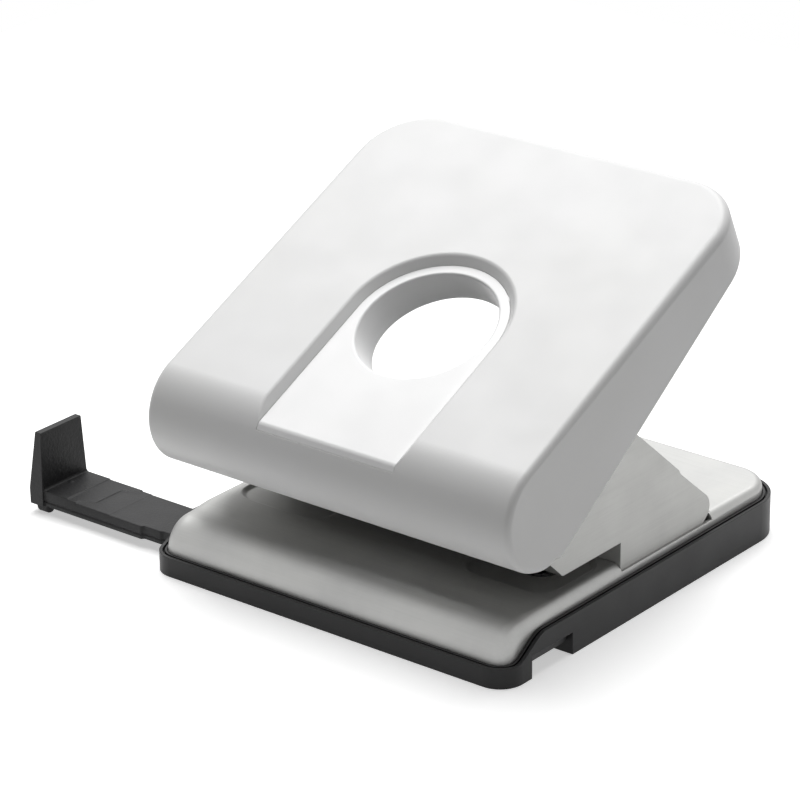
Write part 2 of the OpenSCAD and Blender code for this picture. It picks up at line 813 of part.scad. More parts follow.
module lever_cover() {
  pocket_floor = recess_floor - insert_t - 1.4;
  color([0.9, 0.9, 0.9])
    at_pivot(rest_angle)
      difference() {
        union() {
          difference() {
            lever_form(0, -nose_drop);
            lever_form(cover_wall, -60);
            below_skirt();
            translate([-half_lever + cover_wall, -7, -40])
              cube([lever_w - 2 * cover_wall, 30, 36]);
          }
          intersection() {
            translate([0, 0, pocket_floor])
              linear_extrude(top_rise - pocket_floor - cover_wall / 2)
                recess_plan(recess_top_r + 1.4);
            nose_limit(cover_wall / 2);
          }
          hangers();
          for (side = [-1, 1]) translate([side * screw_x, screw_u, strip_v + sheet_t + seat_gap])
            cylinder(r = cover_boss_r, h = top_rise - strip_v - sheet_t - cover_wall + 0.1);
          cover_ribs();
        }
        recess_form();
        translate([0, 0, recess_floor - insert_t - seat_gap])
          linear_extrude(insert_t + seat_gap + 0.01) recess_plan(recess_low_r);
        translate([0, hole_u + collar_lean * (insert_t + 0.7) / collar_depth, pocket_floor - overcut])
          cylinder(r = thumb_r + collar_wall + slide_gap + seat_gap, h = 1.4 + overcut + 0.01);
        for (side = [-1, 1]) translate([side * screw_x, screw_u, strip_v])
          cylinder(r = cover_bore_r, h = top_rise - cover_wall - strip_v - 0.8);
      }
}

// Stiffening ribs across the inside of the cover, behind the thumb hole
module cover_ribs() {
  rib_t = 1.2;
  rib_h = 3.2;
  for (u = [hole_u + recess_top_r + 3, screw_u + 14])
    translate([-half_lever + cover_wall - 0.1, u, top_rise - cover_wall - rib_h + 0.1])
      cube([lever_w - 2 * cover_wall + 0.2, rib_t, rib_h]);
}

// Leaning round of the thumb collar, grown by grow, between two depths below the recess floor
module collar_form(grow, from_depth, to_depth) {
  hull()
    for (depth = [from_depth, to_depth])
      translate([0, hole_u + collar_lean * depth / collar_depth, recess_floor - depth])
        cylinder(r = thumb_r - thumb_taper * depth / collar_depth + grow, h = 0.01);
}

// Recess floor and thumb collar, one moulding let into the cover
module grip_insert() {
  color([0.97, 0.97, 0.97])
    at_pivot(rest_angle)
      difference() {
        union() {
          intersection() {
            translate([0, 0, recess_floor - insert_t])
              linear_extrude(insert_t) recess_plan(recess_low_r - seat_gap);
            nose_limit(0.05);
          }
          collar_form(collar_wall, insert_t / 2, collar_depth);
        }
        collar_form(0, -1, collar_depth + 1);
      }
}

// Press lever: arms on the shaft, pad plate over the pins, strip screwed under the cover
module press_lever() {
  strip_half = arm_x - 0.01;
  color([0.6, 0.6, 0.6]) {
    at_pivot(rest_angle) {
      for (side = [-1, 1])
        translate([side * (arm_x - sheet_t / 2), 0, 0])
          side_prism(sheet_t) arm_outline();
      difference() {
        translate([-strip_half, screw_u - 7, strip_v]) cube([2 * strip_half, 14, sheet_t]);
        for (side = [-1, 1]) translate([side * screw_x, screw_u, strip_v - overcut])
          cylinder(r = cover_screw_r + 0.1, h = sheet_t + 2 * overcut);
      }
    }
    at_pivot(half_press)
      translate([-strip_half, pad_front, 0]) cube([2 * strip_half, pad_len, pad_t]);
  }
}

pad_front = pin_dy - 7.5;
pad_len = 14.5;
pad_t = 2;

// An arm's outline in (u, v), with the bore for its bush
module arm_outline() {
  pad_tilt = half_press - rest_angle;
  difference() {
    union() {
      circle(bush_r + 3.6);
      polygon([[-5, 5.5], [5, -5.5],
        [(pad_front + pad_len) * cos(pad_tilt), (pad_front + pad_len) * sin(pad_tilt)],
        [screw_u - 7, strip_v - 3], [screw_u + 7, strip_v], [screw_u + 7, strip_v + sheet_t],
        [14, strip_v + sheet_t]]);
    }
    circle(bush_r + run_gap);
  }
}

module cover_screws() {
  color([0.7, 0.7, 0.7])
    at_pivot(rest_angle)
      for (side = [-1, 1]) translate([side * screw_x, screw_u, 0]) {
        translate([0, 0, strip_v - 1.7]) cylinder(r = cover_head_r, h = 1.7 - 0.05);
        translate([0, 0, strip_v - 0.1]) cylinder(r = cover_screw_r, h = sheet_t + 0.1);
        translate([0, 0, strip_v + sheet_t - 0.1]) cylinder(r = cover_bore_r - run_gap, h = 3);
      }
}

// Paper guide: rail, stepped format fields, upright stop and its foot
step_x = [8.6, 16.4, 22.8];
field_drop = 0.5;

module paper_guide() {
  color([0.17, 0.17, 0.18])
    translate([-stop_x, rail_front_y, 0]) {
      difference() {
        translate([0, 0, rail_z]) cube([rail_len, rail_w, rail_top_z - rail_z]);
        translate([-overcut, 1.6, rail_top_z - field_drop])
          cube([step_x[0] + overcut, rail_w - 3, field_drop + overcut]);
        translate([step_x[0] + 0.6, 1.6, rail_top_z - field_drop * 0.6])
          cube([step_x[1] - step_x[0] - 0.6, rail_w - 3, field_drop + overcut]);
        translate([step_x[1] + 0.6, 1.6, rail_top_z - field_drop])
          cube([step_x[2] - step_x[1], rail_w - 4.5, field_drop + overcut]);
        translate([35.6, -overcut, rail_z - overcut]) cube([rail_len, overcut + 0.7, 8]);
        translate([-overcut, -overcut, rail_z + 1.5]) cube([35.2 + overcut, overcut + 0.25, 0.35]);
      }
      side_stop();
      hull() {
        translate([-2.8, 1.8, 1.6]) rotate([0, 90, 0]) cylinder(r = 1.6, h = 3.6, $fn = hull_fn);
        translate([-3.2, 0.2, rail_z]) cube([4.4, 3.2, 0.2]);
      }
    }
}

// Upright stop, thicker at its foot, with a bevelled front edge
module side_stop() {
  low_t = 4.8;
  high_t = 2.1;
  lean = -0.3;
  hull() {
    translate([-low_t, -0.6, rail_z]) cube([low_t + 0.01, rail_w + 0.6, rail_top_z - rail_z]);
    translate([-high_t, lean, rail_top_z + stop_h - 0.5]) cube([high_t, rail_w - 1.3, 0.5]);
    translate([-high_t + 0.4, lean + 0.2, rail_top_z + stop_h - 0.1])
      cube([high_t - 0.8, rail_w - 1.7, 0.1]);
  }
}

// Chip tray: pan with trunnions at its rear corners and a finger grip at the right
module chip_tray() {
  half = tray_w / 2;
  pan_rear_y = hinge_y + 1.5;
  depth = pan_rear_y - tray_front_y;
  color([0.16, 0.16, 0.17]) {
    difference() {
      translate([-half, tray_front_y, tray_lift]) cube([tray_w, depth, tray_h - tray_lift]);
      translate([-half + tray_wall, tray_front_y + tray_wall, tray_lift + tray_wall])
        cube([tray_w - 2 * tray_wall, depth - 2 * tray_wall, tray_h]);
      translate([-half - overcut, hinge_y - 5, hinge_z + 2])
        rotate([28, 0, 0]) cube([tray_w + 2 * overcut, 20, 20]);
      translate([-half - overcut, pan_rear_y - 0.7, tray_lift])
        rotate([45, 0, 0]) translate([0, 0, -6]) cube([tray_w + 2 * overcut, 3, 6]);
    }
    for (side = [-1, 1])
      translate([side * half - (side > 0 ? 0.01 : 1.6 + 2.2 - 0.01), hinge_y, hinge_z])
        rotate([0, 90, 0]) cylinder(r = hinge_r, h = 1.6 + 2.2);
    tray_grip();
  }
}

// Finger grip: a raised ear at the front right whose lip shows in the notch
module tray_grip() {
  half = tray_w / 2;
  lip_x = half_w - 1.7;
  ear_x = half - grip_arm_w;
  translate([ear_x, notch_y[0] + lid_gap, grip_edge_z])
    cube([lip_x - ear_x, notch_y[1] - notch_y[0] - 2 * lid_gap, tray_wall]);
  translate([lip_x - tray_wall, notch_y[0] + lid_gap, grip_edge_z])
    cube([tray_wall, notch_y[1] - notch_y[0] - 2 * lid_gap, notch_top_z - grip_edge_z - lid_gap / 2]);
  translate([ear_x, notch_y[1] - lid_gap - 2.4, tray_lift])
    cube([2.2, tray_front_y + tray_wall - notch_y[1] + lid_gap + 2.4, grip_edge_z]);
}

base_surround();
base_plate();
bridge_frame();
pin_guide();
bridge_rivets();
die_ring(-1);  // die_ring_left
die_ring(1);  // die_ring_right
base_studs();
surround_screws();
rubber_feet();
pivot_shaft();
shaft_clips();
shaft_bushes();
return_spring(-1);  // return_spring_left
return_spring(1);  // return_spring_right
punch_pin(-1);  // punch_pin_left
punch_pin(1);  // punch_pin_right
pin_collar(-1);  // pin_collar_left
pin_collar(1);  // pin_collar_right
lever_cover();
grip_insert();
press_lever();
cover_screws();
paper_guide();
chip_tray();
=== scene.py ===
import math
import bmesh
import bpy
import numpy as np
from mathutils import Matrix, Vector


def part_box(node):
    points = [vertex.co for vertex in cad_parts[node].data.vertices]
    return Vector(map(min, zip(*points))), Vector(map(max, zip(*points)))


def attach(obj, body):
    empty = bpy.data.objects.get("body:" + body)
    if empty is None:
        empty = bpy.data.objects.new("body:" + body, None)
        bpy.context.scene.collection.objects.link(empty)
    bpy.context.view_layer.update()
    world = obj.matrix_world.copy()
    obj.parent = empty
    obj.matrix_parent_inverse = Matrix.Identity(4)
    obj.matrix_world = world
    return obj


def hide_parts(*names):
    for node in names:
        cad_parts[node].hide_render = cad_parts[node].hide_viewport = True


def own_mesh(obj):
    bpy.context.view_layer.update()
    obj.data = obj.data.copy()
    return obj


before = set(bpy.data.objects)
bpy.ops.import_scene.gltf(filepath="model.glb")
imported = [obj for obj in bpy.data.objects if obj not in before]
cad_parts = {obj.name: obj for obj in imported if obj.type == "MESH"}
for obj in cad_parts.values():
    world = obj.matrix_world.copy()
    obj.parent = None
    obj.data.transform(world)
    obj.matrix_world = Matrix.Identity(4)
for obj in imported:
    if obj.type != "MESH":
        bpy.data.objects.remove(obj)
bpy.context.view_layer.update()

# Lengths are in millimetres and places in the CAD frame. MM turns them into metres
MM = 0.001
SHEET_T = 1.5  # steel of the plate
PIVOT_Y, PIVOT_Z = -42.0, 41.0  # the lever's shaft
REST = math.radians(25.1)  # slope of the lever's top at rest
STOP_Y = -8.3  # the bridge's paper stop, from which its cheeks stand in the plate's edges
PLATE_Z = 14.8  # the plate's flat top

# The camera that stood before the photographed punch, in degrees and millimetres
CAM_AZ, CAM_EL, CAM_ROLL = 37.693, 22.990, -0.034
CAM_DIST = 1008.995
# Its focal length and shift in pixels of an image 800 pixels wide
CAM_F, CAM_CX, CAM_CY = 3842.566, 67.136, 11.829
IMAGE = 800
AIM_Z, SENSOR = 40, 36.0  # height in mm that the camera and the lamps face, and sensor width


# ---------- colour and material helpers ----------

def linear(hex_text):
    """sRGB hex to linear RGBA: c / 12.92 below 0.04045, else ((c + 0.055) / 1.055) ** 2.4."""
    c = np.array([int(hex_text[i:i + 2], 16) for i in (1, 3, 5)]) / 255.0
    c = np.where(c <= 0.04045, c / 12.92, ((c + 0.055) / 1.055) ** 2.4)
    return (float(c[0]), float(c[1]), float(c[2]), 1.0)


def add(tree, kind, sockets=None, **settings):
    """Adds one node, sets its attributes, and sets or links each named input socket."""
    n = tree.nodes.new(kind)
    for key, value in settings.items():
        setattr(n, key, value)
    for key, value in (sockets or {}).items():
        if isinstance(value, bpy.types.NodeSocket):
            tree.links.new(value, n.inputs[key])
        else:
            n.inputs[key].default_value = value
    return n


def new_material(name):
    """An empty node material: returns the material, its node tree and its output node."""
    m = bpy.data.materials.new(name)
    m.use_nodes = True
    m.node_tree.nodes.clear()
    return m, m.node_tree, m.node_tree.nodes.new("ShaderNodeOutputMaterial")


def object_mm(t):
    """Object coordinates in millimetres, so that a pattern's scale is one over its size in mm."""
    at = add(t, "ShaderNodeTexCoord").outputs["Object"]
    return add(t, "ShaderNodeVectorMath", {0: at, "Scale": 1000.0}, operation="SCALE").outputs[0]


def soft_edges(t, edge_mm):
    """Shading normal that rounds sharp edges by edge_mm, as a mould or a deburred sheet does."""
    return add(t, "ShaderNodeBevel", {"Radius": edge_mm * MM}, samples=6).outputs[0]


def ramp(t, factor, low, high, to_low, to_high):
    """Maps factor from low..high to to_low..to_high, held at both ends."""
    return add(t, "ShaderNodeMapRange", {"Value": factor, "From Min": low, "From Max": high,
                                         "To Min": to_low, "To Max": to_high}).outputs[0]


# Sizes of the materials' patterns in mm
FLOW_MM, RUBBED_MM = 70, 14
STREAK_W_MM, STREAK_L_MM, CLOUD_MM = 0.5, 26, 18
TURNED_PER_MM, SPOT_MM = (0.15, 0.15, 3.0), 2.5
MOULD_EDGE_MM, SHEET_EDGE_MM, TURNED_EDGE_MM, METAL_BUMP_MM = 0.3, 0.25, 0.2, 0.02
ABS_IOR = 1.53


def moulded_abs(name, tint, shade, rough, grain_mm, bump_mm, gloss=0.5):
    """Injection-moulded plastic: the look comes from an even colour, a satin skin from a
    spark-eroded mould, faint flow shading a hand wide and rubbed places that shine a little."""
    m, t, out = new_material(name)
    at = object_mm(t)
    flow = add(t, "ShaderNodeTexNoise", {"Vector": at, "Scale": 1 / FLOW_MM, "Detail": 2.0})
    rubbed = add(t, "ShaderNodeTexNoise", {"Vector": at, "Scale": 1 / RUBBED_MM, "Detail": 4.0})
    grain = add(t, "ShaderNodeTexNoise", {"Vector": at, "Scale": 1 / grain_mm, "Detail": 3.0,
                                          "Roughness": 0.6})
    colour = add(t, "ShaderNodeMix", {"Factor": ramp(t, flow.outputs["Fac"], 0.35, 0.65, 0, 1),
                                      "A": linear(tint), "B": linear(shade)}, data_type="RGBA")
    bump = add(t, "ShaderNodeBump", {"Height": grain.outputs["Fac"], "Strength": 0.35,
                                     "Distance": bump_mm * MM,
                                     "Normal": soft_edges(t, MOULD_EDGE_MM)})
    shine = ramp(t, rubbed.outputs["Fac"], 0.3, 0.7, rough + 0.05, rough - 0.05)
    bsdf = add(t, "ShaderNodeBsdfPrincipled", {"Base Color": colour.outputs[2], "Roughness": shine,
                                               "IOR": ABS_IOR, "Specular IOR Level": gloss,
                                               "Normal": bump.outputs[0]})
    t.links.new(bsdf.outputs[0], out.inputs["Surface"])
    return m


def satin_nickel_sheet(name, tint, shade, rough, along):
    """Plated steel sheet, satin from rolling: the look comes from streaks along one axis, drawn
    half a millimetre wide so that they show, and from plating that is cloudy over 18 mm."""
    m, t, out = new_material(name)
    at = object_mm(t)
    stretch = [1 / STREAK_W_MM] * 3
    stretch[along] = 1 / STREAK_L_MM
    streak_at = add(t, "ShaderNodeMapping", {"Vector": at, "Scale": stretch}).outputs[0]
    streaks = add(t, "ShaderNodeTexNoise", {"Vector": streak_at, "Scale": 1.0, "Detail": 4.0,
                                            "Roughness": 0.65})
    clouds = add(t, "ShaderNodeTexNoise", {"Vector": at, "Scale": 1 / CLOUD_MM, "Detail": 5.0,
                                           "Roughness": 0.6})
    colour = add(t, "ShaderNodeMix", {"Factor": ramp(t, clouds.outputs["Fac"], 0.3, 0.7, 0, 1),
                                      "A": linear(tint), "B": linear(shade)}, data_type="RGBA")
    worn = add(t, "ShaderNodeMath", {0: ramp(t, streaks.outputs["Fac"], 0.3, 0.7, -0.05, 0.05),
                                     1: ramp(t, clouds.outputs["Fac"], 0.3, 0.7, rough - 0.03,
                                             rough + 0.04)}, operation="ADD")
    bump = add(t, "ShaderNodeBump", {"Height": streaks.outputs["Fac"], "Strength": 0.12,
                                     "Distance": METAL_BUMP_MM * MM,
                                     "Normal": soft_edges(t, SHEET_EDGE_MM)})
    bsdf = add(t, "ShaderNodeBsdfPrincipled", {"Base Color": colour.outputs[2], "Metallic": 1.0,
                                               "Roughness": worn.outputs[0],
                                               "Normal": bump.outputs[0]})
    t.links.new(bsdf.outputs[0], out.inputs["Surface"])
    return m


def ground_steel(name, tint, shade, rough):
    """Turned, drawn or ground steel: the look comes from a clean metal with faint lines a few
    tenths of a millimetre apart round it and a slightly uneven shine."""
    m, t, out = new_material(name)
    at = object_mm(t)
    lines_at = add(t, "ShaderNodeMapping", {"Vector": at, "Scale": TURNED_PER_MM}).outputs[0]
    lines = add(t, "ShaderNodeTexNoise", {"Vector": lines_at, "Scale": 1.0, "Detail": 3.0})
    spots = add(t, "ShaderNodeTexNoise", {"Vector": at, "Scale": 1 / SPOT_MM, "Detail": 4.0})
    colour = add(t, "ShaderNodeMix", {"Factor": ramp(t, spots.outputs["Fac"], 0.35, 0.65, 0, 1),
                                      "A": linear(tint), "B": linear(shade)}, data_type="RGBA")
    bump = add(t, "ShaderNodeBump", {"Height": lines.outputs["Fac"], "Strength": 0.15,
                                     "Distance": METAL_BUMP_MM * MM,
                                     "Normal": soft_edges(t, TURNED_EDGE_MM)})
    bsdf = add(t, "ShaderNodeBsdfPrincipled", {
        "Base Color": colour.outputs[2], "Metallic": 1.0,
        "Roughness": ramp(t, spots.outputs["Fac"], 0.3, 0.7, rough - 0.04, rough + 0.06),
        "Normal": bump.outputs[0]})
    t.links.new(bsdf.outputs[0], out.inputs["Surface"])
    return m


cover_abs = moulded_abs("light_grey_satin_abs", "#e4e4e4", "#e1e1e0", 0.42, 0.5, 0.02)
insert_abs = moulded_abs("white_satin_abs", "#f6f6f6", "#f3f3f3", 0.38, 0.5, 0.02)
surround_pp = moulded_abs("black_moulded_surround", "#0f0f10", "#131314", 0.45, 0.6, 0.03, 0.32)
guide_pp = moulded_abs("black_grained_guide", "#19191a", "#222223", 0.55, 0.8, 0.3, 0.3)
tray_pp = moulded_abs("black_satin_tray", "#161617", "#1b1b1c", 0.45, 0.6, 0.03)
nylon = moulded_abs("natural_nylon_bush", "#dcdacf", "#d2d0c4", 0.5, 0.5, 0.02)
rubber = moulded_abs("black_foot_rubber", "#0f0f0f", "#141414", 0.8, 0.8, 0.06)
plate_nickel = satin_nickel_sheet("satin_nickel_plate", "#b3b3b1", "#adadac", 0.52, 0)
bridge_nickel = satin_nickel_sheet("satin_nickel_bridge", "#a1a19f", "#9c9c9a", 0.42, 1)
lever_zinc = satin_nickel_sheet("zinc_plated_lever", "#a6a8a9", "#9c9ea0", 0.42, 1)
fastener_zinc = ground_steel("zinc_plated_fastener", "#c2c3c4", "#b4b5b6", 0.32)
die_steel = ground_steel("hardened_die_steel", "#8c8d90", "#808184", 0.25)
pin_steel = ground_steel("polished_pin_steel", "#cfd0d2", "#c4c5c8", 0.14)
spring_wire = ground_steel("bright_spring_wire", "#b8b9bc", "#a8a9ac", 0.28)

CAD_LOOKS = {
    "pin_guide": bridge_nickel, "bridge_rivets": fastener_zinc, "die_ring_left": die_steel,
    "die_ring_right": die_steel, "base_studs": fastener_zinc, "surround_screws": fastener_zinc,
    "rubber_feet": rubber, "pivot_shaft": pin_steel, "shaft_clips": spring_wire,
    "shaft_bushes": nylon, "return_spring_left": spring_wire, "return_spring_right": spring_wire,
    "punch_pin_left": pin_steel, "punch_pin_right": pin_steel, "pin_collar_left": spring_wire,
    "pin_collar_right": spring_wire, "press_lever": lever_zinc, "cover_screws": fastener_zinc,
    "chip_tray": tray_pp, "lever_cover": cover_abs, "grip_insert": insert_abs,
    "base_plate": plate_nickel, "bridge_frame": bridge_nickel, "base_surround": surround_pp,
    "paper_guide": guide_pp}
for node_name, look in CAD_LOOKS.items():
    cad_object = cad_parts[node_name]
    for material_slot in cad_object.material_slots:
        material_slot.material = look


# ---------- shape helpers ----------

def lever(points):
    """Lever coordinates in mm (x across, u along its top, v square to it, from the pivot) turned
    by REST about the pivot's axis into the frame."""
    p = np.asarray(points, float)
    c, s = math.cos(REST), math.sin(REST)
    return np.stack([p[..., 0], PIVOT_Y + p[..., 1] * c - p[..., 2] * s,
                     PIVOT_Z + p[..., 1] * s + p[..., 2] * c], axis=-1)


def smoothstep(value, low, high):
    """0 below low, 1 above high, and 3t^2 - 2t^3 between them."""
    t = np.clip((np.asarray(value, float) - low) / (high - low), 0, 1)
    return t * t * (3 - 2 * t)


def arc(centre, radius, start, stop, steps):
    """Points of an arc in a plane, and their outward unit normals, for angles in degrees."""
    a = np.radians(np.linspace(start, stop, steps + 1))
    normal = np.stack([np.cos(a), np.sin(a)], axis=-1)
    return np.asarray(centre, float) + radius * normal, normal


def crease(edge, up, out, radius, steps=8):
    """Quarter rounds along a sharp edge: edge - up r (1 - cos a) - out r (1 - sin a), with a from
    0, on the face whose normal is up, to 90 degrees, on the face whose normal is out."""
    a = np.linspace(0, math.pi / 2, steps + 1)[None, :, None]
    r = np.asarray(radius, float)[:, None, None]
    return (edge[:, None, :] - up[:, None, :] * r * (1 - np.cos(a))
            - out[:, None, :] * r * (1 - np.sin(a)))


class Form:
    """Grids and polygons of one piece in mm. Parts that meet repeat their shared points, and
    welding joins them."""

    def __init__(self):
        self.points, self.faces = [], []

    def grid(self, points, wrap_rows=False, wrap_cols=False, keep=None):
        """Quads over a rows x cols grid of points; keep(i, j) can leave some of them out."""
        points = np.asarray(points, float)
        rows, cols = points.shape[:2]
        i, j = np.meshgrid(np.arange(rows if wrap_rows else rows - 1),
                           np.arange(cols if wrap_cols else cols - 1), indexing="ij")
        if keep is not None:
            chosen = keep(i, j)
            i, j = i[chosen], j[chosen]
        i, j = i.ravel(), j.ravel()
        i2, j2 = (i + 1) % rows, (j + 1) % cols
        quads = np.stack([i * cols + j, i2 * cols + j, i2 * cols + j2, i * cols + j2], axis=-1)
        self.faces += (quads + len(self.points)).tolist()
        self.points += points.reshape(-1, 3).tolist()

    def polygon(self, points):
        """One flat face through the points in order."""
        self.faces.append(list(range(len(self.points), len(self.points) + len(points))))
        self.points += np.asarray(points, float).tolist()


WELD_MM = 0.01


def build(name, form, look, body, replaces, place=None, thick=0.0, bevel=0.0, sharp=30.0):
    """Makes a piece from a form: welds points that meet, turns its faces outward, and gives it a
    wall thick mm inwards, edges over sharp degrees rounded by bevel mm, normals that follow the
    larger faces, its material and its body, and hides the nodes that it stands for."""
    points = np.asarray(form.points, float)
    mesh = bpy.data.meshes.new(name)
    mesh.from_pydata(((place(points) if place else points) * MM).tolist(), [], form.faces)
    shape = bmesh.new()
    shape.from_mesh(mesh)
    bmesh.ops.remove_doubles(shape, verts=shape.verts, dist=WELD_MM * MM)
    bmesh.ops.dissolve_degenerate(shape, edges=shape.edges, dist=WELD_MM * MM / 2)
    bmesh.ops.recalc_face_normals(shape, faces=shape.faces)
    shape.to_mesh(mesh)
    shape.free()
    mesh.polygons.foreach_set("use_smooth", [True] * len(mesh.polygons))
    mesh.materials.append(look)
    piece = bpy.data.objects.new(name, mesh)
    bpy.context.collection.objects.link(piece)
    if thick:
        wall = piece.modifiers.new("wall", "SOLIDIFY")
        wall.thickness, wall.offset = thick * MM, -1.0
    if bevel:
        edge = piece.modifiers.new("edge", "BEVEL")
        edge.width, edge.segments, edge.limit_method = bevel * MM, 2, "ANGLE"
        edge.angle_limit, edge.use_clamp_overlap = math.radians(sharp), True
    normals = piece.modifiers.new("normals", "WEIGHTED_NORMAL")
    normals.keep_sharp, normals.weight = True, 90
    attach(piece, body)
    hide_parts(*replaces)
    return piece


# ---------- lever cover ----------

LEVER_HALF = 58.95
LEVER_TOP = 18.0
LEVER_REACH = 104.1
LEVER_CORNER = 18.5
NOSE_TOP, NOSE_TOP_R = (-1.9, 2.8), 15.2
NOSE_LOW, NOSE_LOW_R = (-3.2, -1.3), 11.2
NOSE_DROP, LIP_U = 12.5, -7.0
SKIRT_SLOPE = math.radians(9.7)
SKIRT_LOW = 12.2
SKIRT_EDGE_R, NOSE_EDGE_R, REAR_EDGE_R = 0.3, 1.8, 2.6
HOLE_U, THUMB_R = 34.8, 19.1
RECESS_FLOOR = 15.6
RECESS_LOW_R = 22.3
RECESS_SLOPE = math.atan2(2.4, 1.9)
RECESS_SOFT = 1.5
POCKET_FLOOR = 14.3
COVER_WALL = 1.6
# Rows of points along the skirt's front line, along the top, round a rear corner, from the nose
# back to the hole, round a quarter of the recess's end and round the hole's front half
SKIRT_ROWS, TOP_STEPS, CORNER_STEPS, STRAIGHT_STEPS, END_STEPS, RING_STEPS = 4, 12, 20, 7, 24, 48


def nose_angle(height):
    """Angle on the nose's upper round, in degrees, at which it passes a height in v."""
    return 90 + math.degrees(math.acos((height - NOSE_TOP[1]) / NOSE_TOP_R))


def nose_tangent():
    """Angle, in degrees, of the normal of the line that touches both of the nose's rounds."""
    du, dv = NOSE_TOP[0] - NOSE_LOW[0], NOSE_TOP[1] - NOSE_LOW[1]
    return math.degrees(math.atan2(dv, du)
                        + math.acos((NOSE_LOW_R - NOSE_TOP_R) / math.hypot(du, dv)))


def skirt_v(u):
    """Height v of the skirt's lower edge at u, a straight line that rises to the rear."""
    return -SKIRT_LOW + u * math.tan(SKIRT_SLOPE)


def cover_side():
    """The sharp edge of the cover's right side from the skirt's front end round the nose and
    back, its two face normals, its rounding radius, and the row numbers of the parts."""
    parts, names = [], {}
    line_u = np.linspace((SKIRT_LOW - NOSE_DROP) / math.tan(SKIRT_SLOPE), NOSE_LOW[0], SKIRT_ROWS)
    parts.append((np.stack([line_u, np.full(SKIRT_ROWS, -NOSE_DROP)], -1),
                  np.tile([0.0, -1.0], (SKIRT_ROWS, 1))))
    lip = 180 + math.degrees(math.acos((NOSE_LOW[0] - LIP_U) / NOSE_LOW_R))
    tangent, pocket, floor = nose_tangent(), nose_angle(POCKET_FLOOR), nose_angle(RECESS_FLOOR)
    stops = [(NOSE_LOW, NOSE_LOW_R, 270, lip, 4, "lip"),
             (NOSE_LOW, NOSE_LOW_R, lip, tangent, 10, "tangent"),
             (NOSE_TOP, NOSE_TOP_R, tangent, pocket, 24, "pocket"),
             (NOSE_TOP, NOSE_TOP_R, pocket, floor, 4, "floor"),
             (NOSE_TOP, NOSE_TOP_R, floor, 90, 14, "top")]
    count = SKIRT_ROWS
    for centre, radius, start, stop, steps, name in stops:
        at, normal = arc(centre, radius, start, stop, steps)
        skip = 0 if name == "pocket" else 1
        parts.append((at[skip:], normal[skip:]))
        count += len(at) - skip
        names[name] = count - 1
    top_u = np.linspace(NOSE_TOP[0], LEVER_REACH - LEVER_CORNER, TOP_STEPS + 1)[1:]
    parts.append((np.stack([top_u, np.full(TOP_STEPS, LEVER_TOP)], -1),
                  np.tile([0.0, 1.0], (TOP_STEPS, 1))))
    names["corner"] = count + TOP_STEPS - 1
    at = np.concatenate([p[0] for p in parts])
    normal = np.concatenate([p[1] for p in parts])
    edge = np.column_stack([np.full(len(at), LEVER_HALF), at])
    up = np.column_stack([np.zeros(len(at)), normal])
    out = np.tile([1.0, 0.0, 0.0], (len(at), 1))
    along = np.clip((at[:, 0] - NOSE_TOP[0]) / (LEVER_REACH - LEVER_CORNER), 0, 1)
    radius = NOSE_EDGE_R + (REAR_EDGE_R - NOSE_EDGE_R) * along
    radius[:SKIRT_ROWS] = np.linspace(SKIRT_EDGE_R, NOSE_EDGE_R, SKIRT_ROWS)
    turn = np.radians(np.linspace(0, 90, CORNER_STEPS + 1)[1:])
    side_dir = np.stack([np.cos(turn), np.sin(turn), np.zeros(CORNER_STEPS)], -1)
    centre = np.array([LEVER_HALF - LEVER_CORNER, LEVER_REACH - LEVER_CORNER, LEVER_TOP])
    edge = np.concatenate([edge, centre + LEVER_CORNER * side_dir, [[0, LEVER_REACH, LEVER_TOP]]])
    up = np.concatenate([up, np.tile([0.0, 0.0, 1.0], (CORNER_STEPS + 1, 1))])
    out = np.concatenate([out, side_dir, [[0.0, 1.0, 0.0]]])
    radius = np.concatenate([radius, np.full(CORNER_STEPS + 1, REAR_EDGE_R)])
    return edge, up, out, radius, names


def recess_section(height):
    """(distance from the recess's middle line, v) down its wall where the surface round it is
    height high: a soft edge, the slope, then the pocket's upright side."""
    rise = max(height - RECESS_FLOOR, 0.0)
    soft = min(RECESS_SOFT, 0.8 * rise)
    b = np.linspace(0, RECESS_SLOPE, 7)
    start = RECESS_LOW_R + rise / math.tan(RECESS_SLOPE) + soft * math.tan(RECESS_SLOPE / 2)
    points = np.stack([start - soft * np.sin(b), height - soft + soft * np.cos(b)], -1)
    low = min(height, RECESS_FLOOR)
    return np.concatenate([points, [[RECESS_LOW_R, low], [RECESS_LOW_R, POCKET_FLOOR]]])


def recess_wall(nose_rows):
    """Rows down the recess's right wall: along the nose's rows, straight back to the hole, then
    round it to the middle line."""
    stations = []
    for at in nose_rows:
        s = recess_section(at[2])
        stations.append(np.column_stack([s[:, 0], np.full(len(s), at[1]), s[:, 1]]))
    s = recess_section(LEVER_TOP)
    for u in np.linspace(NOSE_TOP[0], HOLE_U, STRAIGHT_STEPS + 1)[1:]:
        stations.append(np.column_stack([s[:, 0], np.full(len(s), u), s[:, 1]]))
    for turn in np.radians(np.linspace(0, 90, END_STEPS + 1)[1:]):
        stations.append(np.column_stack([s[:, 0] * math.cos(turn),
                                         HOLE_U + s[:, 0] * math.sin(turn), s[:, 1]]))
    return np.array(stations)


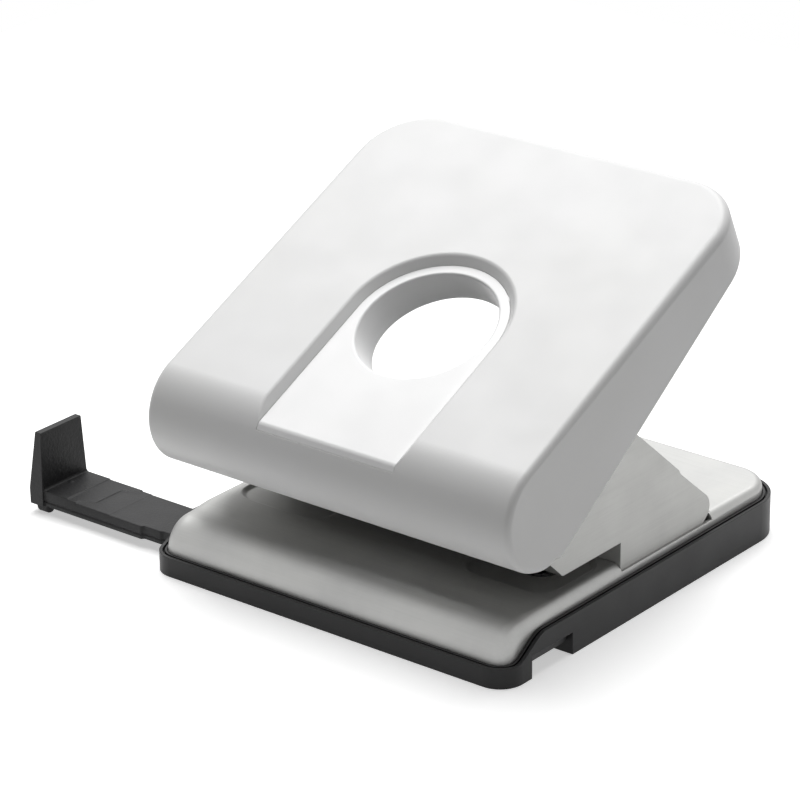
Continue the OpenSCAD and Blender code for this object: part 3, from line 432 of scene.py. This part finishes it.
def make_cover():
    """The lever's shell: flat top, round nose, flat sides, rounded rear corners, one edge round
    that grows from 1.8 mm at the nose to 2.6 mm at the rear, and a recess round the thumb hole."""
    edge, up, out, radius, row = cover_side()
    half = crease(edge, up, out, radius)
    form = Form()
    for flip in (1.0, -1.0):
        sign = np.array([flip, 1.0, 1.0])
        form.grid(half * sign)
        tall = half[row["corner"]:, -1]
        foot = tall.copy()
        foot[:, 2] = skirt_v(foot[:, 1])
        form.grid(np.stack([tall, foot], 1) * sign)
        form.polygon(np.concatenate([half[:row["corner"] + 1, -1], foot[:1], edge[:1]]) * sign)
    lip, pocket, top = row["lip"], row["pocket"], row["top"]
    full = half[lip:pocket + 1, 0]
    inner = full.copy()
    inner[:, 0] = RECESS_LOW_R
    form.grid(np.stack([full, inner, inner * [-1, 1, 1], full * [-1, 1, 1]], 1))
    nose_rows = half[pocket:top + 1, 0]
    wall = recess_wall(nose_rows)
    for flip in (1.0, -1.0):
        sign = np.array([flip, 1.0, 1.0])
        form.grid(wall * sign)
        form.grid(np.stack([nose_rows, wall[:len(nose_rows), 0]], 1) * sign)
        form.polygon(np.concatenate([half[top:, 0], wall[top - pocket:, 0][::-1]]) * sign)
    straight = wall[:len(nose_rows) + STRAIGHT_STEPS, -1]
    ring = np.radians(np.linspace(0, 180, RING_STEPS + 1))
    front = np.column_stack([RECESS_LOW_R * np.cos(ring), HOLE_U - RECESS_LOW_R * np.sin(ring),
                             np.full(RING_STEPS + 1, POCKET_FLOOR)])
    form.polygon(np.concatenate([straight, front[1:-1], straight[::-1] * [-1, 1, 1]]))
    return build("cover_shell", form, cover_abs, "lever", ("lever_cover",), lever,
                 thick=COVER_WALL, bevel=0.25)


SHAFT_R = 3.15
HANGER_X, HANGER_T, HANGER_R = 45.0, 2.4, 6.0
SCREW_X, SCREW_U = 30.0, 69.0
BOSS_LOW, BOSS_R, BORE_R, BOSS_SOFT = 12.6, 3.4, 1.2, 0.3
BORE_TOP, BOSS_FLARE, BOSS_SIDES = 15.6, 15.4, 48
RIB_U, RIB_T, RIB_H = (60.9, 83.0), 1.2, 3.2
ROOT = 0.1  # how far the cover's inner pieces reach into its wall
CEILING = LEVER_TOP - COVER_WALL


def make_hangers():
    """Two plates inside the cover that turn on the shaft. Each is an outline carried across its
    thickness, and its faces are strips from the outline in to the shaft's hole."""
    ceiling = CEILING + 2 * ROOT
    arc_points, _ = arc((0, 0), HANGER_R, 180, 360, 32)
    outline = np.concatenate([arc_points, [[8.6, 3.9], [11.8, 9.1], [15.5, ceiling], [9, ceiling],
                                           [3, ceiling], [-4, ceiling], [-5, 12.5], [-6, 9],
                                           [-6, 4.5], [-6, 2.2]]])
    hole = SHAFT_R * outline / np.linalg.norm(outline, axis=1)[:, None]
    form = Form()
    for side in (-1, 1):
        x_in, x_out = side * HANGER_X - HANGER_T / 2, side * HANGER_X + HANGER_T / 2
        loops = [np.column_stack([np.full(len(loop), x), loop])
                 for x, loop in ((x_in, hole), (x_in, outline), (x_out, outline), (x_out, hole))]
        form.grid(np.array(loops), wrap_rows=True, wrap_cols=True)
    return build("cover_hangers", form, cover_abs, "lever", ("lever_cover",),
                 lever, bevel=0.3, sharp=50.0)


def make_cover_bosses():
    """The cover's two screw bosses, each a section turned round the screw: (distance from the
    middle, v)."""
    section = [(BORE_R, BORE_TOP), (BORE_R, BOSS_LOW + BOSS_SOFT), (BORE_R + BOSS_SOFT, BOSS_LOW),
               (BOSS_R - BOSS_SOFT, BOSS_LOW), (BOSS_R, BOSS_LOW + BOSS_SOFT),
               (BOSS_R + 0.1, BOSS_FLARE), (BOSS_R + 0.9, CEILING + ROOT)]
    turn = np.radians(np.arange(BOSS_SIDES) * 360 / BOSS_SIDES)
    form = Form()
    for side in (-1, 1):
        form.grid(np.array([np.column_stack([side * SCREW_X + r * np.cos(turn),
                                             SCREW_U + r * np.sin(turn), np.full(BOSS_SIDES, v)])
                            for r, v in section]), wrap_cols=True)
    return build("cover_bosses", form, cover_abs, "lever", ("lever_cover",),
                 lever)


def make_cover_ribs():
    """Two stiffening ribs across the inside of the cover: a thin section with a rounded lower
    edge and spread roots, carried from wall to wall."""
    ceiling = CEILING + ROOT
    low, _ = arc((0, ceiling - RIB_H + RIB_T / 2), RIB_T / 2, 180, 360, 8)
    section = np.concatenate([[[-RIB_T, ceiling], [-RIB_T / 2, ceiling - 0.8]], low,
                              [[RIB_T / 2, ceiling - 0.8], [RIB_T, ceiling]]])
    half = LEVER_HALF - COVER_WALL + ROOT
    form = Form()
    for middle in RIB_U:
        rows = [np.column_stack([np.full(len(section), x), section + [middle, 0]])
                for x in np.linspace(-half, half, 9)]
        form.grid(np.array(rows), wrap_cols=True)
        form.polygon(rows[0])
        form.polygon(rows[-1])
    return build("cover_ribs", form, cover_abs, "lever", ("lever_cover",), lever)


# ---------- grip insert ----------

INSERT_HALF, INSERT_NOSE_R, INSERT_T = RECESS_LOW_R - 0.1, NOSE_TOP_R - 0.05, 1.2
INSERT_LIP_R, INSERT_MID_X = 2.2, 7
RIM_SOFT, COLLAR_LEAN, COLLAR_DEEP, COLLAR_TAPER, COLLAR_SIDES = 0.7, 2.45, 10.8, 0.3, 96


def make_insert():
    """The whiter recess floor, which rounds over the nose, with the thumb hole's soft rim and a
    collar that leans back and narrows as it goes down."""
    form = Form()
    r = INSERT_HALF
    turn = nose_angle(RECESS_FLOOR) - 90
    reach = INSERT_LIP_R * math.tan(math.radians(turn / 2))
    corner_u = NOSE_TOP[0] - NOSE_TOP_R * math.sin(math.radians(turn))
    bend = np.radians(np.linspace(0, turn, 8))
    front_u = corner_u + reach
    lip = np.stack([front_u - INSERT_LIP_R * np.sin(bend),
                    RECESS_FLOOR - INSERT_LIP_R + INSERT_LIP_R * np.cos(bend)], -1)
    low, _ = arc(NOSE_TOP, INSERT_NOSE_R, 90 + turn + 5, nose_angle(POCKET_FLOOR + 0.1), 3)
    edge = np.concatenate([lip, low])
    form.grid(np.stack([np.column_stack([np.full(len(edge), x), edge])
                        for x in (-r, -INSERT_MID_X, INSERT_MID_X, r)], 1))
    a = np.radians(np.linspace(0, 180, COLLAR_SIDES // 2 + 1))
    rim = np.column_stack([(THUMB_R + RIM_SOFT) * np.sin(a),
                           HOLE_U - (THUMB_R + RIM_SOFT) * np.cos(a),
                           np.full(len(a), RECESS_FLOOR)])
    b = np.radians(np.linspace(0, 90, 19))
    back = np.column_stack([r * np.cos(b), HOLE_U + r * np.sin(b), np.full(19, RECESS_FLOOR)])
    front = np.array([[INSERT_MID_X, front_u, RECESS_FLOOR], [r, front_u, RECESS_FLOOR]])
    for flip in (1.0, -1.0):
        form.polygon(np.concatenate([[[0, front_u, RECESS_FLOOR]], front, back, rim[::-1]])
                     * [flip, 1, 1])
    form.polygon(np.array([[x, front_u, RECESS_FLOOR]
                           for x in (-INSERT_MID_X, 0, INSERT_MID_X)]))
    depth = [(THUMB_R + RIM_SOFT - RIM_SOFT * math.sin(c), RIM_SOFT - RIM_SOFT * math.cos(c))
             for c in np.linspace(0, math.pi / 2, 6)]
    depth += [(THUMB_R - COLLAR_TAPER * d / COLLAR_DEEP, d)
              for d in np.linspace(2, COLLAR_DEEP - 0.4, 6)]
    depth += [(THUMB_R - 0.15, COLLAR_DEEP - 0.1), (THUMB_R + 0.2, COLLAR_DEEP)]
    around = np.radians(np.arange(COLLAR_SIDES) * 360 / COLLAR_SIDES)
    form.grid(np.array([np.column_stack([radius * np.sin(around),
                                         HOLE_U + COLLAR_LEAN * d / COLLAR_DEEP
                                         - radius * np.cos(around),
                                         np.full(COLLAR_SIDES, RECESS_FLOOR - d)])
                        for radius, d in depth]), wrap_cols=True)
    return build("thumb_insert", form, insert_abs, "lever", ("grip_insert",),
                 lever, thick=INSERT_T, bevel=0.15)


# ---------- base plate ----------

RAIL_Y, RAIL_Z = (-52.0, -34.8), (2.4, 7.0)  # the paper guide's rail
STEEL_X = 56.6
STEEL_Y = (-58.6, 63.6)
FRONT_ROLL, FRONT_EDGE, SIDE_EDGE, REAR_EDGE = 9.0, 4.6, 3.4, 2.0
ROLL_Y, FLAT_Y = -49.6, -40.6
REAR_PLAN_R = 11.1
NECK_Y = (-56.5, -44.0)  # where the black rim rises from its front height to its side height
FRONT_H, RIM_H = 5.5, 11.2
SKIRT_DROP = 2.6
CHEEK_IN_X, CHEEK_LOW_Z, CHEEK_REAR = 54.3, 13.0, 32.4
HOLLOW_X, HOLLOW_HALF, HOLLOW_R = 37.0, 14.6, 6.0
HOLLOW_Y = (-34.8, -9.3)
DIE_X, DIE_Y, DIE_HOLE_R = 40.0, -21.0, 5.05
FLAT_ROW_Y = -36  # the row of points from which the plate's flat is one face on each side
FRONT_DIP = 0.3  # how much lower the top is where the front roll ends
CHEEK_GAP = 0.1  # between a cheek and the ends of its opening
RAIL_GAP, RAIL_AHEAD = 0.5, 1.1  # over the rail, and in front of it
# Rings down a hollow's wall: how far outside its outline, and the height
HOLLOW_RINGS = [(0.7, 14.8), (0.45, 14.76), (0.2, 14.65), (0.0, 14.48), (-0.5, 14.15),
                (-0.75, 14.0), (-1.0, 13.92), (-1.3, 13.9)]


def skirt_z(y):
    """Height of the plate's lower edge at y, which follows the black rim's swan neck."""
    return FRONT_H + (RIM_H - FRONT_H) * smoothstep(y, *NECK_Y) - SKIRT_DROP


def plate_edge():
    """The plate's sharp right edge, up its front, round the front roll, back along the side and
    round the rear corner to the middle, with its two face normals and its rounding radius."""
    front = np.array([[STEEL_Y[0], skirt_z(STEEL_Y[0])], [STEEL_Y[0], FRONT_H]])
    roll, turned = arc((ROLL_Y, FRONT_H), FRONT_ROLL, 180, 90, 14)
    y_top = np.concatenate([np.linspace(ROLL_Y, FLAT_ROW_Y, 13)[1:],
                            [-22.0, STOP_Y - CHEEK_GAP, 0, 12, 24, CHEEK_REAR - CHEEK_GAP, 42]])
    z_top = PLATE_Z - FRONT_DIP + FRONT_DIP * smoothstep(y_top, ROLL_Y, FLAT_Y)
    side = np.concatenate([front, roll[1:], np.column_stack([y_top, z_top])])
    up = np.concatenate([[[-1.0, 0.0]] * 2, turned[1:], [[0.0, 1.0]] * len(y_top)])
    edge = np.column_stack([np.full(len(side), STEEL_X), side])
    up = np.column_stack([np.zeros(len(side)), up])
    out = np.tile([1.0, 0.0, 0.0], (len(side), 1))
    radius = (FRONT_EDGE + (SIDE_EDGE - FRONT_EDGE) * smoothstep(side[:, 0], ROLL_Y, FLAT_Y)
              + (REAR_EDGE - SIDE_EDGE) * np.clip((side[:, 0] - FLAT_Y) / 93, 0, 1))
    turn = np.radians(np.linspace(0, 90, 17))
    away = np.stack([np.cos(turn), np.sin(turn), np.zeros(17)], -1)
    centre = np.array([STEEL_X - REAR_PLAN_R, STEEL_Y[1] - REAR_PLAN_R, PLATE_Z])
    edge = np.concatenate([edge, centre + REAR_PLAN_R * away, [[0, STEEL_Y[1], PLATE_Z]]])
    up = np.concatenate([up, np.tile([0.0, 0.0, 1.0], (18, 1))])
    out = np.concatenate([out, away, [[0.0, 1.0, 0.0]]])
    radius = np.concatenate([radius, np.full(18, REAR_EDGE)])
    return edge, up, out, radius


def plate_rings():
    """Rows round the plate's right edge. Each turns from the top to the side in steps that fall
    on the two lines where the opening for the bridge's cheek is cut, then drops to the skirt."""
    rows = []
    for edge, up, out, r in zip(*plate_edge()):
        low = math.asin(np.clip(1 - (STEEL_X - CHEEK_IN_X) / r, 0.07, 1))
        high = math.acos(np.clip(1 - (PLATE_Z - CHEEK_LOW_Z) / r, 0.05, 1))
        a = np.concatenate([[0, low / 2], np.linspace(low, high, 7), [(high + math.pi / 2) / 2,
                                                                     math.pi / 2]])[:, None]
        ring = edge - up * r * (1 - np.cos(a)) - out * r * (1 - np.sin(a))
        if not rows:
            ring[:, 2] = skirt_z(ring[:, 1])
        foot = ring[-1].copy()
        foot[2] = skirt_z(foot[1])
        rows.append(np.concatenate([ring, [foot]]))
    return np.array(rows)


def hollow_ring(side, grow, z):
    """Rounded rectangle round a hollow at height z, counted from its inner side forwards."""
    points = []
    for cx, cy, start in ((-1, 0, 180), (1, 0, 270), (1, 1, 0), (-1, 1, 90)):
        centre = (HOLLOW_X + cx * (HOLLOW_HALF - HOLLOW_R),
                  HOLLOW_Y[0] + HOLLOW_R if cy == 0 else HOLLOW_Y[1] - HOLLOW_R)
        at, _ = arc(centre, HOLLOW_R + grow, start, start + 90, 16)
        points.append(at)
    ring = np.concatenate(points)
    ring = np.column_stack([ring, np.full(len(ring), z)])
    return ring * [side, 1, 1]


def disc_rows(side, ring):
    """Rows from a hollow's floor outline in to the round opening for the die."""
    centre = np.array([DIE_X * side, DIE_Y])
    away = ring[:, :2] - centre
    away /= np.linalg.norm(away, axis=1)[:, None]
    inner = np.column_stack([centre + DIE_HOLE_R * away, ring[:, 2]])
    return np.array([ring, inner])


def make_plate():
    """The pressed plate: its front rolls down in a 9 mm round, its side and rear edges in smaller
    ones, and a hollow is pressed round each die. Its left edge clears the rail."""
    half = plate_rings()
    at_y = half[:, -1, 1]
    cut = ((at_y >= STOP_Y - 2 * CHEEK_GAP) & (at_y < CHEEK_REAR - 2 * CHEEK_GAP)
           & (half[:, -1, 0] > STEEL_X - 0.01))
    form = Form()
    over_rail = half.copy()
    over_rail[:, -1, 2] = np.where(at_y > RAIL_Y[0] - RAIL_AHEAD,
                                   np.maximum(half[:, -1, 2], RAIL_Z[1] + RAIL_GAP),
                                   half[:, -1, 2])
    for side, rows in ((1.0, half), (-1.0, over_rail)):
        form.grid(rows * [side, 1, 1], keep=lambda i, j: ~(cut[i] & (j >= 2) & (j < 8)))
    flat = int(np.argmin(np.abs(half[:, 0, 1] - FLAT_ROW_Y)))
    rows = half[:flat + 1, 0]
    form.grid(np.stack([rows * [across, 1, 1] for across in (1, 0.5, 0, -0.5, -1)], 1))
    edge = half[flat:, 0]
    split = int(np.argmin(np.abs(edge[:, 1] - sum(HOLLOW_Y) / 2)))
    rings = {side: np.array([hollow_ring(side, grow, z) for grow, z in HOLLOW_RINGS])
             for side in (1, -1)}
    for side in (1, -1):
        form.grid(rings[side], wrap_cols=True)
    half_way = rings[1].shape[1] // 2
    for front in (True, False):
        right, left = [ring[:half_way + 1] if front
                       else np.concatenate([ring[half_way:], ring[:1]])[::-1]
                       for ring in (rings[1][0], rings[-1][0])]
        border = edge[:split + 1] if front else edge[split:][::-1]
        form.polygon(np.concatenate([border, right[::-1], left, (border * [-1, 1, 1])[::-1]]))
    for side in (1, -1):
        form.grid(disc_rows(side, rings[side][-1]), wrap_cols=True)
    return build("pressed_plate", form, plate_nickel, "base", ("base_plate",),
                 thick=SHEET_T, bevel=0.2)


# ---------- paper guide ----------

STOP_X, STOP_THICK, STOP_TIP = -105.0, 4.8, 2.1
STOP_TOP = 24.0
STOP_Y_LOW, STOP_Y_RAIL, STOP_Y_TOP = (-52.6, -34.8), (-52.6, -34.9), (-52.3, -36.4)
FIELD_X, FIELD_DROP, FIELD_REACH = (-96.4, -89.0, -81.2), (0.25, 0.3, 0.15), 4.5
STEP_HALF = 0.12  # half the width of a step between two fields, in mm
HEEL_R = 0.6  # round at the stop's foot
PIP_X, PIP_Y, PIP_H, PIP_RX, PIP_RY = -103.4, -42.9, 0.28, 0.75, 0.5
GROOVE_Z, GROOVE_IN = (3.5, 3.62, 3.92, 4.04), 0.28
SHOE_Y, SHOE_R, SHOE_TOP = -50.2, 1.6, 2.6
# Sections of the sliding foot: place along x and size
SHOE_SECTIONS = ((-108.2, 0.82), (-108.05, 0.94), (-107.7, 1), (-104.8, 1), (-104.35, 0.94),
                 (-104.2, 0.82))


def field_edge(y, x, reach):
    """Line where a paper-size field ends: it leaves the front edge, runs straight across the rail
    at x and sweeps on along the rear edge, reach mm further out at either end."""
    return x - reach * (1 - smoothstep(y, -51.6, -48.4)) + reach * smoothstep(y, -38.6, -35.4)


def rail_top(x, y):
    """Height of the rail's top: three fields, each a step lower than the one nearer the stop,
    the small round at the stop's foot and a moulded pip, h exp(-(dx^2 + dy^2)^2)."""
    z = np.full_like(x, RAIL_Z[1])
    edges = (np.full_like(y, FIELD_X[0]), field_edge(y, FIELD_X[1], FIELD_REACH),
             np.full_like(y, FIELD_X[2]))
    for edge, drop in zip(edges, FIELD_DROP):
        z -= drop * smoothstep(x, edge - STEP_HALF, edge + STEP_HALF)
    near = np.clip(HEEL_R - (x - STOP_X), 0, HEEL_R)
    z += HEEL_R - np.sqrt(HEEL_R ** 2 - near ** 2)
    z += PIP_H * np.exp(-(((x - PIP_X) / PIP_RX) ** 2 + ((y - PIP_Y) / PIP_RY) ** 2) ** 2)
    return z


def rail_front(x):
    """Front face of the rail: it steps in beyond the last field, and again where it enters."""
    return RAIL_Y[0] + 0.75 * smoothstep(x, -69.9, -69.2) + 0.5 * smoothstep(x, -63.6, -62.8)


def rail_row(x, front):
    """The rail's section at x, from its lower rear edge forwards, up its grooved front face and
    back over its top."""
    low_z, groove = RAIL_Z[0] + 0.06 * (x > -63), front + GROOVE_IN
    y = front + 0.25 + (RAIL_Y[1] - 0.2 - front - 0.25) * np.linspace(0, 1, 48)
    z = rail_top(np.full_like(y, x), y)
    side = [(RAIL_Y[1], low_z), (front + 0.2, low_z), (front, low_z + 0.2), (front, GROOVE_Z[0]),
            (groove, GROOVE_Z[1]), (groove, GROOVE_Z[2]), (front, GROOVE_Z[3]),
            (front, z[0] - 0.25), (front + 0.08, z[0] - 0.08)]
    rear = [(RAIL_Y[1] - 0.05, z[-1] - 0.08), (RAIL_Y[1], z[-1] - 0.3)]
    return [(x, a, b) for a, b in side + list(zip(y, z)) + rear]


def make_guide():
    """The sliding guide: a rail whose section is carried along x, its upright stop, which
    thickens downwards, and the rounded foot that slides on the desk."""
    form = Form()
    x = np.concatenate([np.linspace(STOP_X - 0.4, STOP_X + 0.7, 9), np.arange(-103.9, -80, 0.12),
                        np.arange(-80, -60.5, 0.3), np.linspace(-60, 0, 13)])
    rows = np.array([rail_row(x_i, y_f) for x_i, y_f in zip(x, rail_front(x))])
    levels = [(RAIL_Z[0], STOP_THICK - 0.1, STOP_Y_LOW), (RAIL_Z[1], STOP_THICK, STOP_Y_RAIL),
              (STOP_TOP, STOP_TIP, STOP_Y_TOP)]
    walls = np.array([[(STOP_X - t, y0, z), (STOP_X, y0, z), (STOP_X, y1, z), (STOP_X - t, y1, z)]
                      for z, t, (y0, y1) in levels])
    arch, _ = arc((SHOE_Y, SHOE_R), SHOE_R, -180, 0, 16)
    arch = np.concatenate([[[SHOE_Y - SHOE_R, SHOE_TOP]], arch, [[SHOE_Y + SHOE_R, SHOE_TOP]]])
    shoe = np.array([[(x_i, SHOE_Y + (a - SHOE_Y) * size, SHOE_TOP + (b - SHOE_TOP) * size)
                      for a, b in arch] for x_i, size in SHOE_SECTIONS])
    for part in (rows, walls, shoe):
        form.grid(part, wrap_cols=True)
        form.polygon(part[0])
        form.polygon(part[-1])
    return build("sliding_guide", form, guide_pp, "guide", ("paper_guide",),
                 bevel=0.35, sharp=55.0)


# ---------- return springs ----------

COIL_R, WIRE_R, COIL_TURNS = 4.1, 0.4, 5.5
COIL_STEPS, WIRE_SIDES = 195, 10
CLOSED_RISE = 2 * WIRE_R * 1.04  # one wire and a little air, over the first and the last turn


def make_spring(node, name):
    """A return spring: a round wire carried along the helix r (cos a, sin a), z(a) about the pin,
    closed at both ends. Between them z rises by 3t^2 - 2t^3 of what is left, with t the share of
    the turns."""
    low, high = (np.array(c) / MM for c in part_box(node))
    middle = (low + high) / 2
    share = np.linspace(0, 1, COIL_STEPS + 1)
    turn = 2 * math.pi * COIL_TURNS * share
    rise = smoothstep(share * COIL_TURNS, 1, COIL_TURNS - 1)
    first, last = low[2] + WIRE_R, high[2] - WIRE_R
    z = first + CLOSED_RISE * np.clip(share * COIL_TURNS, 0, 1)
    z += (last - first - 2 * CLOSED_RISE) * rise
    z += CLOSED_RISE * np.clip(share * COIL_TURNS - COIL_TURNS + 1, 0, 1)
    path = np.column_stack([middle[0] + COIL_R * np.cos(turn), middle[1] + COIL_R * np.sin(turn),
                            z])
    heading = np.gradient(path, axis=0)
    heading /= np.linalg.norm(heading, axis=1)[:, None]
    away = np.column_stack([np.cos(turn), np.sin(turn), np.zeros(len(turn))])
    across = np.cross(heading, away)
    around = np.radians(np.arange(WIRE_SIDES) * 360 / WIRE_SIDES)[None, :, None]
    rings = path[:, None] + WIRE_R * (np.cos(around) * away[:, None]
                                      + np.sin(around) * across[:, None])
    form = Form()
    form.grid(rings, wrap_cols=True)
    form.polygon(rings[0])
    form.polygon(rings[-1])
    piece = build(name, form, spring_wire, "base", (node,))
    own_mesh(piece)


make_cover()
make_hangers()
make_cover_bosses()
make_cover_ribs()
make_insert()
make_plate()
make_guide()
make_spring("return_spring_left", "coil_spring_left")
make_spring("return_spring_right", "coil_spring_right")


# ---------- stage, light and camera ----------

def put_camera():
    """Stands the camera at its azimuth, elevation and distance from the point 40 mm above the
    origin, with the lens and shift that the photograph's frame gives."""
    az, el, roll = (math.radians(v) for v in (CAM_AZ, CAM_EL, CAM_ROLL))
    back = Vector((math.sin(az) * math.cos(el), -math.cos(az) * math.cos(el), math.sin(el)))
    right = Vector((math.cos(az), math.sin(az), 0))
    up = right.cross(-back)
    turned_right = right * math.cos(roll) + up * math.sin(roll)
    turned_up = up * math.cos(roll) - right * math.sin(roll)
    data = bpy.data.cameras.new("photo_camera")
    cam = bpy.data.objects.new("photo_camera", data)
    bpy.context.collection.objects.link(cam)
    axes = Matrix((turned_right, turned_up, back)).transposed().to_4x4()
    cam.matrix_world = Matrix.Translation((Vector((0, 0, AIM_Z)) + back * CAM_DIST) * MM) @ axes
    data.sensor_width = SENSOR
    data.lens = SENSOR * CAM_F / IMAGE
    data.shift_x = -CAM_CX / IMAGE
    data.shift_y = CAM_CY / IMAGE
    data.clip_start, data.clip_end = 0.01, 20.0  # metres
    bpy.context.scene.camera = cam


def soft_lamp(name, place, size, power, aim=(0, 0, AIM_Z)):
    """A square studio softbox at place, in mm, that faces aim."""
    data = bpy.data.lights.new(name, "AREA")
    data.shape, data.size, data.energy = "SQUARE", size * MM, power
    lamp = bpy.data.objects.new(name, data)
    bpy.context.collection.objects.link(lamp)
    lamp.location = Vector(place) * MM
    lamp.rotation_euler = (Vector(aim) - Vector(place)).to_track_quat("-Z", "Y").to_euler()


# Light from the sky: direction, how narrow it is (n), strength
SKY_LOBES = [((0, 0, 1), 8, 0.22), ((-0.7, 0.7, 0.5), 4, 0.2), ((0.7, 0.7, 0.5), 4, 0.3)]
# Softboxes: place in mm, side in mm, power in watts
SOFTBOXES = {"overhead_box": ((-250, 250, 900), 900, 11.4)}
FLOOR_GLOW, FLOOR_HALF_M = 0.5, 0.42
SKY_SHOWN = 1.0  # strength of the white studio where it is looked at


def looked_at(t):
    """1 for rays from the camera, off metal or through glass, so that all of these show the same
    white studio, and 0 for the light that falls on the object."""
    path = add(t, "ShaderNodeLightPath").outputs
    sharp = add(t, "ShaderNodeMath", {0: path["Is Glossy Ray"], 1: path["Is Transmission Ray"]},
                operation="MAXIMUM").outputs[0]
    return add(t, "ShaderNodeMath", {0: path["Is Camera Ray"], 1: sharp},
               operation="MAXIMUM").outputs[0]


def put_stage():
    """A pale floor that takes the shadow, softboxes, and a sky that is white where it is looked
    at and lights the object from chosen directions: strength * max(0, ray . direction) ^ n."""
    m, t, out = new_material("pale_floor")
    shaded = add(t, "ShaderNodeBsdfDiffuse", {"Color": linear("#f4f4f4")})
    glow = add(t, "ShaderNodeEmission", {"Color": (1, 1, 1, 1), "Strength": FLOOR_GLOW})
    both = add(t, "ShaderNodeAddShader", {0: shaded.outputs[0], 1: glow.outputs[0]})
    pick = add(t, "ShaderNodeMixShader", {0: looked_at(t), 1: shaded.outputs[0],
                                          2: both.outputs[0]})
    t.links.new(pick.outputs[0], out.inputs["Surface"])
    side = FLOOR_HALF_M
    mesh = bpy.data.meshes.new("floor")
    mesh.from_pydata([(-side, -side, 0), (side, -side, 0), (side, side, 0), (-side, side, 0)], [],
                     [(0, 1, 2, 3)])
    mesh.materials.append(m)
    floor = bpy.data.objects.new("floor", mesh)
    bpy.context.collection.objects.link(floor)
    world = bpy.data.worlds.new("studio")
    bpy.context.scene.world = world
    world.use_nodes = True
    t = world.node_tree
    t.nodes.clear()
    ray = add(t, "ShaderNodeTexCoord").outputs["Generated"]
    total = 0.0
    for direction, narrow, strength in SKY_LOBES:
        along = add(t, "ShaderNodeVectorMath", {0: ray, 1: Vector(direction).normalized()},
                    operation="DOT_PRODUCT").outputs["Value"]
        lobe = add(t, "ShaderNodeMath", {0: along, 1: 0.0}, operation="MAXIMUM").outputs[0]
        lobe = add(t, "ShaderNodeMath", {0: lobe, 1: narrow}, operation="POWER").outputs[0]
        total = add(t, "ShaderNodeMath", {0: lobe, 1: strength, 2: total},
                    operation="MULTIPLY_ADD").outputs[0]
    light = add(t, "ShaderNodeBackground", {"Color": linear("#ffffff"), "Strength": total})
    white = add(t, "ShaderNodeBackground", {"Color": (1, 1, 1, 1), "Strength": SKY_SHOWN})
    pick = add(t, "ShaderNodeMixShader", {0: looked_at(t), 1: light.outputs[0],
                                          2: white.outputs[0]})
    out = t.nodes.new("ShaderNodeOutputWorld")
    t.links.new(pick.outputs[0], out.inputs["Surface"])
    for name, (place, size, power) in SOFTBOXES.items():
        soft_lamp(name, place, size, power)
    bpy.context.scene.view_settings.view_transform = "Standard"


put_camera()
put_stage()
